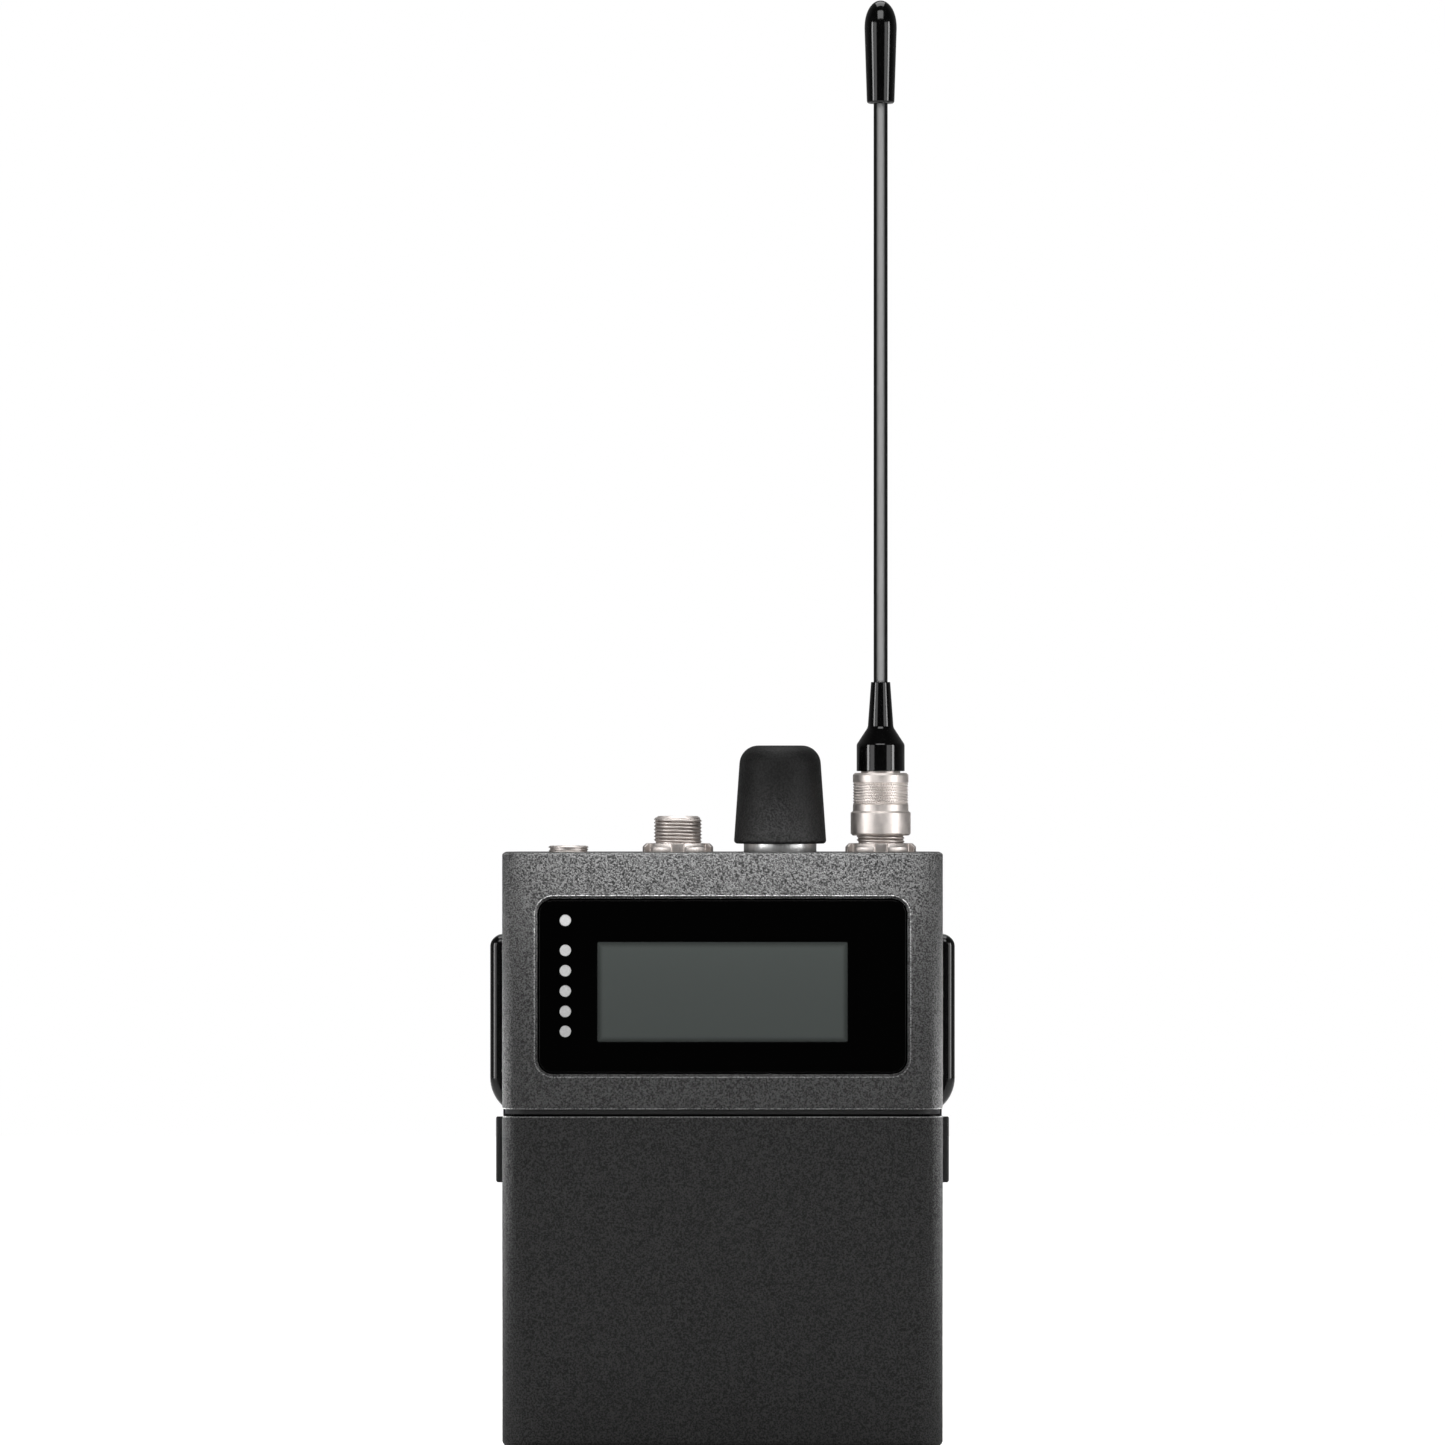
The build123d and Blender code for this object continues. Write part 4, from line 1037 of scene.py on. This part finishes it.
@dataclass
class Receptacle:
    """A threaded connector shell that stands up through the top panel."""

    node: str
    x: float
    top: float
    bore: float
    nut_top: float = 87.5
    bottom: float = 78.5
    floor: float = 79.5
    crest: float = 3.5
    pitch: float = 0.5
    mounting: float = 3.8
    flange: float = 4.6
    flange_top: float = 84.19
    flange_height: float = 1.4

    def build(self, finishes: Finishes) -> Object:
        """Turn the shell and wind its thread.

        Args:
            finishes: the object's materials.

        Returns:
            The shell with its thread.
        """
        root = self.crest - self.pitch / 2 - 0.02
        shell = lathe(
            self.node + "_shell",
            [
                (self.bore - 0.5, self.bottom, 0),
                (self.mounting, self.bottom, 0.1),
                (self.mounting, self.flange_top - self.flange_height, 0.05),
                (self.flange, self.flange_top - self.flange_height, 0.1),
                (self.flange, self.flange_top, 0.1),
                (self.mounting, self.flange_top, 0.05),
                (self.mounting, self.nut_top - 0.35, 0.1),
                (root, self.nut_top - 0.35, 0.05),
                (root, self.top - 0.3, 0.1),
                (self.bore + 0.22, self.top, 0.12),
                (self.bore, self.top - 0.2, 0.1),
                (self.bore, self.floor, 0.1),
                (self.bore - 0.5, self.floor, 0.1),
                (self.bore - 0.5, self.bottom, 0),
            ],
            self.x,
        )
        nickel = finishes.slots["nickel"]
        dress(shell, nickel)
        ridge = thread(
            self.node + "_thread", self.x, self.crest, self.nut_top, self.top - 0.05, self.pitch, nickel
        )
        return join("detailed_" + self.node, [shell, ridge])

    def dress(self, finishes: Finishes) -> None:
        """Build it and set it in the place of the CAD node.

        Args:
            finishes: the object's materials.
        """
        place(self.build(finishes), Body.HOUSING, "nickel", [self.node])


@dataclass
class HeadphoneSocket:
    """The small threaded bushing at the left of the top panel."""

    x: float = -22.45
    outer: float = 2.9
    bore: float = 1.8
    bottom: float = 76.0
    top: float = 87.15
    pitch: float = 0.4

    def dress(self, finishes: Finishes) -> None:
        """Turn the bushing, wind its thread and set it in place.

        Args:
            finishes: the object's materials.
        """
        root = self.outer - self.pitch / 2 - 0.01
        sleeve = lathe(
            "socket_sleeve",
            [
                (self.bore, self.bottom, 0),
                (root, self.bottom, 0.05),
                (root, self.top - 0.32, 0.05),
                (self.outer, self.top - 0.3, 0.04),
                (self.outer, self.top - 0.14, 0.08),
                (self.outer - 0.25, self.top, 0.1),
                (self.bore + 0.2, self.top, 0.08),
                (self.bore, self.top - 0.2, 0.05),
                (self.bore, self.bottom, 0),
            ],
            self.x,
        )
        nickel = finishes.slots["nickel"]
        dress(sleeve, nickel)
        ridge = thread("socket_thread", self.x, self.outer, 84.0, self.top - 0.3, self.pitch, nickel)
        place(join("detailed_jack_bushing", [sleeve, ridge]), Body.HOUSING, "nickel", ["jack_bushing"])


@dataclass
class CouplingNut:
    """The antenna's coupling nut with its knurled grip."""

    x: float = 23.05
    bottom: float = 88.63
    step: float = 92.2
    top: float = 97.75
    wide: float = 4.375
    narrow: float = 4.05
    bore: float = 3.55
    collar_bore: float = 2.9
    ceiling: float = 92.75
    knurl_low: float = 93.45
    knurl_high: float = 96.3
    teeth: int = 65
    rows: int = 7
    tooth_height: float = 0.2
    tooth_spread: float = 0.53

    def knurl(self, material: Material) -> Object:
        """Set small pyramids in staggered rows around the grip.

        Args:
            material: the nut's finish.

        Returns:
            The teeth as a plain mesh.
        """
        pitch = (self.knurl_high - self.knurl_low) / self.rows
        ground = self.narrow - self.tooth_height
        recipe = Recipe(
            "diamond_knurl",
            {
                "Teeth": ("NodeSocketInt", self.teeth),
                "Rows": ("NodeSocketInt", self.rows),
                "Row pitch": ("NodeSocketFloat", pitch * MM),
                "Radius": ("NodeSocketFloat", ground * MM),
                "Tooth height": ("NodeSocketFloat", self.tooth_height * MM),
                "Tooth radius": ("NodeSocketFloat", pitch * self.tooth_spread * MM),
                "Foot": ("NodeSocketVector", (self.x * MM, 0.0, (self.knurl_low + pitch / 2) * MM)),
            },
        )
        maths = partial(maths_node, recipe.tree)
        given = recipe.given
        number = recipe.add("GeometryNodeInputIndex", {}).outputs[0]
        tooth = maths("MODULO", number, given("Teeth"))
        row = maths("FLOOR", maths("DIVIDE", number, given("Teeth")))
        stagger = maths("MULTIPLY", maths("MODULO", row, 2.0), 0.5)
        share = maths("DIVIDE", maths("ADD", tooth, stagger), given("Teeth"))
        angle = maths("MULTIPLY", share, math.tau)
        place_of = {
            "X": maths("MULTIPLY", maths("COSINE", angle), given("Radius")),
            "Y": maths("MULTIPLY", maths("SINE", angle), given("Radius")),
            "Z": maths("MULTIPLY", row, given("Row pitch")),
        }
        spot = recipe.add("ShaderNodeCombineXYZ", place_of).outputs["Vector"]
        count = maths("MULTIPLY", given("Teeth"), given("Rows"))
        points = recipe.add("GeometryNodePoints", {"Count": count, "Position": spot})
        cone = {"Vertices": 4, "Side Segments": 1, "Radius Top": 0.0}
        cone |= {"Radius Bottom": given("Tooth radius"), "Depth": given("Tooth height")}
        pyramid = recipe.add("GeometryNodeMeshCone", cone)
        turned = recipe.add("ShaderNodeCombineXYZ", {"Y": math.pi / 2, "Z": angle}).outputs["Vector"]
        facing = recipe.add("FunctionNodeEulerToRotation", {"Euler": turned})
        copies = {
            "Points": points.outputs["Points"],
            "Instance": pyramid.outputs["Mesh"],
            "Rotation": facing.outputs["Rotation"],
        }
        cut = recipe.add("GeometryNodeInstanceOnPoints", copies).outputs["Instances"]
        moved = recipe.add("GeometryNodeTransform", {"Geometry": cut, "Translation": given("Foot")})
        recipe.close(moved.outputs["Geometry"], material)
        return recipe.run(blank("knurl_teeth"))

    def dress(self, finishes: Finishes) -> None:
        """Turn the nut, cut its grip and set it in place.

        Args:
            finishes: the object's materials.
        """
        ground = self.narrow - self.tooth_height + 0.02
        nut = lathe(
            "nut_body",
            [
                (self.bore, self.bottom, 0),
                (self.wide - 0.3, self.bottom, 0.05),
                (self.wide, self.bottom + 0.3, 0.15),
                (self.wide, self.step - 0.25, 0.15),
                (self.narrow, self.step, 0.05),
                (self.narrow, self.knurl_low - 0.32, 0.05),
                (self.narrow - 0.1, self.knurl_low - 0.24, 0.02),
                (self.narrow, self.knurl_low - 0.14, 0.02),
                (ground, self.knurl_low, 0.02),
                (ground, self.knurl_high, 0.02),
                (self.narrow, self.knurl_high + 0.06, 0.05),
                (self.narrow, self.top - 0.3, 0.15),
                (self.narrow - 0.3, self.top, 0.1),
                (self.collar_bore, self.top, 0.05),
                (self.collar_bore, self.ceiling, 0.05),
                (self.bore, self.ceiling, 0.05),
                (self.bore, self.bottom, 0),
            ],
            self.x,
        )
        nickel = finishes.slots["nickel"]
        dress(nut, nickel)
        piece = join("detailed_antenna_coupling_nut", [nut, self.knurl(nickel)])
        place(piece, Body.NUT, "nickel", ["antenna_coupling_nut"])


@dataclass
class RearScrews:
    """The four countersunk six-lobe screws in the back."""

    places: tuple[tuple[float, float], ...] = ((-16.2, 80.0), (16.2, 80.0), (-22.0, 43.5), (22.0, 43.5))
    face: float = 9.9
    end: float = 4.2
    head: float = 1.5
    shank: float = 0.8
    drive: float = 0.82
    lobe: float = 0.13
    drive_depth: float = 0.75
    segments: int = 48

    def one(self) -> Object:
        """Build one screw about the line through the origin along Y.

        Returns:
            The screw.
        """
        shape = bmesh.new()
        steps = [
            (0.0, self.end, False),
            (self.shank, self.end, False),
            (self.shank, self.face - 0.75, False),
            (self.head, self.face - 0.12, False),
            (self.head - 0.02, self.face - 0.03, False),
            (self.head - 0.1, self.face, False),
            (self.drive + 0.06, self.face, True),
            (self.drive, self.face - 0.06, True),
            (self.drive - 0.03, self.face - self.drive_depth, True),
            (0.0, self.face - self.drive_depth - 0.15, False),
        ]
        rings = []
        for radius, depth, lobed in steps:
            ring = []
            for k in range(self.segments):
                angle = math.tau * k / self.segments
                reach = radius + (self.lobe * math.cos(6 * angle) if lobed else 0.0)
                if radius == 0.0 and ring:
                    ring.append(ring[0])
                    continue
                at = (reach * math.cos(angle), depth, reach * math.sin(angle))
                ring.append(shape.verts.new([c * MM for c in at]))
            rings.append(ring)
        skin(shape, rings)
        return finish_mesh("one_screw", shape)

    def dress(self, finishes: Finishes) -> None:
        """Instance the screw at its four places.

        Args:
            finishes: the object's materials.
        """
        screw = self.one()
        recipe = Recipe("screw_set", {"Screw": ("NodeSocketObject", screw)})
        spots = blank("detailed_housing_screws")
        spots.data.from_pydata([(x * MM, 0.0, z * MM) for x, z in self.places], [], [])
        shape = recipe.add("GeometryNodeObjectInfo", {"Object": recipe.given("Screw")})
        inputs = {"Points": recipe.given("Geometry"), "Instance": shape.outputs["Geometry"]}
        copies = recipe.add("GeometryNodeInstanceOnPoints", inputs)
        recipe.close(copies.outputs["Instances"], finishes.slots["screw_black"])
        piece = recipe.run(spots)
        bpy.data.objects.remove(screw)
        place(piece, Body.HOUSING, "screw_black", ["housing_screws"])


@dataclass
class LatchSprings:
    """The coil springs behind the side latches, which shorten as a latch is pressed."""

    wire: float = 0.3
    turns: float = 4.0
    kept_length: float = 0.52

    def one(self, side: float, word: str, finishes: Finishes) -> None:
        """Wind one spring where the CAD spring lies and ride it on the door.

        Args:
            side: -1 for the left latch, 1 for the right.
            word: the side's name.
            finishes: the materials.
        """
        node = frame["nodes"][f"latch_spring_{word}"]
        corners = [node.matrix_world @ Vector(corner) for corner in node.bound_box]
        low = Vector([min(corner[i] for corner in corners) for i in range(3)])
        high = Vector([max(corner[i] for corner in corners) for i in range(3)])
        middle = (low + high) / 2
        fixed_x = low.x if side > 0 else high.x
        wire_radius = self.wire / 2 * MM
        recipe = Recipe(
            f"latch_coil_{word}",
            {
                "Turns": ("NodeSocketFloat", self.turns),
                "Radius": ("NodeSocketFloat", (high.z - low.z) / 2 - wire_radius),
                "Length": ("NodeSocketFloat", high.x - low.x - 2.2 * wire_radius),
                "Wire radius": ("NodeSocketFloat", wire_radius),
                "Turn over": ("NodeSocketVector", (0.0, side * math.pi / 2, 0.0)),
                "Fixed end": (
                    "NodeSocketVector",
                    (fixed_x + side * 1.1 * wire_radius, middle.y, middle.z),
                ),
            },
        )
        path = recipe.helix(recipe.given("Turns"), recipe.given("Radius"), recipe.given("Length"), 40)
        inputs = {
            "Geometry": recipe.sweep(path, 12, recipe.given("Wire radius")),
            "Rotation": recipe.given("Turn over"),
            "Translation": recipe.given("Fixed end"),
        }
        laid = recipe.add("GeometryNodeTransform", inputs)
        recipe.close(laid.outputs["Geometry"], finishes.slots["steel"])
        spring = recipe.run(blank(f"detailed_latch_spring_{word}"))
        place(spring, Body.DOOR, "steel", [node.name])
        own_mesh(spring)

    def dress(self, finishes: Finishes) -> None:
        """Wind both springs.

        Args:
            finishes: the materials.
        """
        self.one(-1.0, "left", finishes)
        self.one(1.0, "right", finishes)


@dataclass
class AntennaWhip:
    """The moulded boot, the sheathed rod and the tip cap, with smooth turned outlines."""

    x: float = 23.05
    rod: float = 1.02
    core: float = 0.5
    rod_foot: float = 93.0
    neck: float = 2.2
    neck_top: float = 101.0
    boot: float = 3.5
    boot_foot: float = 98.0
    boot_shoulder: float = 101.9
    waist: float = 1.875
    waist_height: float = 104.4
    boot_end: float = 1.4
    boot_top: float = 111.0
    cap: float = 2.0
    cap_foot: float = 195.3
    widest: float = 2.35
    widest_height: float = 206.3
    nose: float = 4.05
    fullness: float = 0.92
    tip: float = 210.35

    def dress(self, finishes: Finishes) -> None:
        """Turn the three mouldings and set each in place.

        Args:
            finishes: the object's materials.
        """
        boot = [
            (self.neck, self.boot_foot, 0),
            (self.boot, self.boot_foot, 0.12),
            (self.boot, self.boot_shoulder, 0.7),
            (self.waist, self.waist_height, 1.2),
            (self.boot_end, self.boot_top, 0.12),
            (self.rod, self.boot_top, 0.05),
            (self.rod, self.neck_top, 0.05),
            (self.neck, self.neck_top, 0.05),
            (self.neck, self.boot_foot, 0),
        ]
        nose = [
            (self.widest * math.cos(t), self.widest_height + self.nose * math.sin(t) ** self.fullness, 0)
            for t in ARC
        ]
        cap = [(self.rod, self.cap_foot, 0), (self.cap, self.cap_foot, 0.6), *nose, (0.0, self.tip, 0)]
        rod = [
            (self.core, self.rod_foot, 0),
            (self.rod, self.rod_foot, 0.05),
            (self.rod, self.widest_height, 0.05),
            (self.core, self.widest_height, 0),
            (self.core, self.rod_foot, 0),
        ]
        for node, profile, slot, segments, steps in (
            ("antenna_boot", boot, "gloss_black", 144, 10),
            ("antenna_tip_cap", cap, "gloss_black", 144, 10),
            ("antenna_rod", rod, "rod_sheath", 64, 6),
        ):
            piece = lathe("detailed_" + node, profile, self.x, segments, steps)
            dress(piece, finishes.slots[slot])
            place(piece, Body.ANTENNA, slot, [node])


@dataclass
class EdgeBeads:
    """Fine beads round the window, under the shell and along the door's top, lighter than the paint: painted
    highlights on those edges.
    """

    half_width: float = 27.3
    half_height: float = 13.175
    middle: float = 66.83
    corner: float = 2.8
    bead: float = 0.09
    front: float = -9.9
    case_half: float = 31.9
    case_corner: float = 3.4
    shell_height: float = 49.1
    shell_back: float = 1.9
    door_height: float = 47.88
    door_back: float = -6.8

    def along(
        self, name: str, points: Sequence[Point], closed: bool, material: Material
    ) -> Object:
        """Sweep a fine round bead along a path.

        Args:
            name: the bead's name.
            points: the path, in millimetres.
            closed: whether the path returns to its start.
            material: the bead's finish.

        Returns:
            The bead as a plain mesh.
        """
        recipe = Recipe(name, {"Bead radius": ("NodeSocketFloat", self.bead * MM)})
        piece = blank(name)
        count = len(points)
        pairs = [(i, (i + 1) % count) for i in range(count if closed else count - 1)]
        piece.data.from_pydata([[c * MM for c in point] for point in points], pairs, [])
        path = recipe.add("GeometryNodeMeshToCurve", {"Mesh": recipe.given("Geometry")})
        swept = recipe.sweep(path.outputs["Curve"], 8, recipe.given("Bead radius"))
        recipe.close(swept, material)
        return recipe.run(piece)

    def window_path(self) -> list[Point]:
        """Trace the rounded rectangle where the shell meets the window's frame.

        Returns:
            The path's points.
        """
        points: list[Point] = []
        for quarter, (sx, sz) in enumerate(((1, 1), (-1, 1), (-1, -1), (1, -1))):
            for step in range(9):
                angle = math.pi / 2 * (quarter + step / 8)
                points.append(
                    (
                        sx * (self.half_width - self.corner) + self.corner * math.cos(angle),
                        self.front,
                        self.middle
                        + sz * (self.half_height - self.corner)
                        + self.corner * math.sin(angle),
                    )
                )
        return points

    def case_path(self, height: float, back: float) -> list[Point]:
        """The case's front outline at one height, from the left seam round to the right.

        Args:
            height: the path's height.
            back: how far back its ends reach.

        Returns:
            The path's points.
        """
        inner = self.case_half - self.case_corner
        left = [
            (
                -inner - self.case_corner * math.cos(math.pi / 2 * step / 8),
                self.front + self.case_corner * (1 - math.sin(math.pi / 2 * step / 8)),
                height,
            )
            for step in range(9)
        ]
        right = [(-x, y, z) for x, y, z in reversed(left)]
        ends = (-self.case_half, back, height), (self.case_half, back, height)
        return [ends[0], *left, *right, ends[1]]

    def dress(self, finishes: Finishes) -> None:
        """Lay the three beads.

        Args:
            finishes: the object's materials.
        """
        # The beads' light colour is a painted highlight.
        edge = finishes.slots["painted_highlight_edge"]
        window = self.along("window_opening_edge", self.window_path(), True, edge)
        place(window, Body.HOUSING, "shell_paint")
        shell_path = self.case_path(self.shell_height, self.shell_back)
        shell = self.along("shell_lower_edge", shell_path, False, edge)
        place(shell, Body.HOUSING, "shell_paint")
        door = self.along("door_upper_edge", self.case_path(self.door_height, self.door_back), False, edge)
        place(door, Body.DOOR, "door_plastic")


@dataclass
class EdgeWork:
    """The small rounded edges of the moulded and cast parts."""

    def dress(self) -> None:
        """Round each part's edges by its own width."""
        soften(("battery_door", "upper_housing", "rear_housing"), 0.12)
        soften(("clip_tongue",), 0.3, 4)
        soften(("latch_left", "latch_right", "display_window"), 0.12)
        soften(("mic_ring_nut", "antenna_ring_nut", "encoder_nut"), 0.1)


def main() -> None:
    """Build the studio and the object, in order."""
    Studio().build()
    finishes = Finishes().build()
    finishes.dress_frame()
    EdgeWork().dress()
    HeadphoneSocket().dress(finishes)
    Receptacle("mic_receptacle", x=-6.5, top=91.5, bore=2.6).dress(finishes)
    Receptacle("antenna_receptacle", x=23.05, top=91.9, bore=2.5).dress(finishes)
    CouplingNut().dress(finishes)
    AntennaWhip().dress(finishes)
    RearScrews().dress(finishes)
    LatchSprings().dress(finishes)
    EdgeBeads().dress(finishes)


if __name__ == "__main__":
    main()
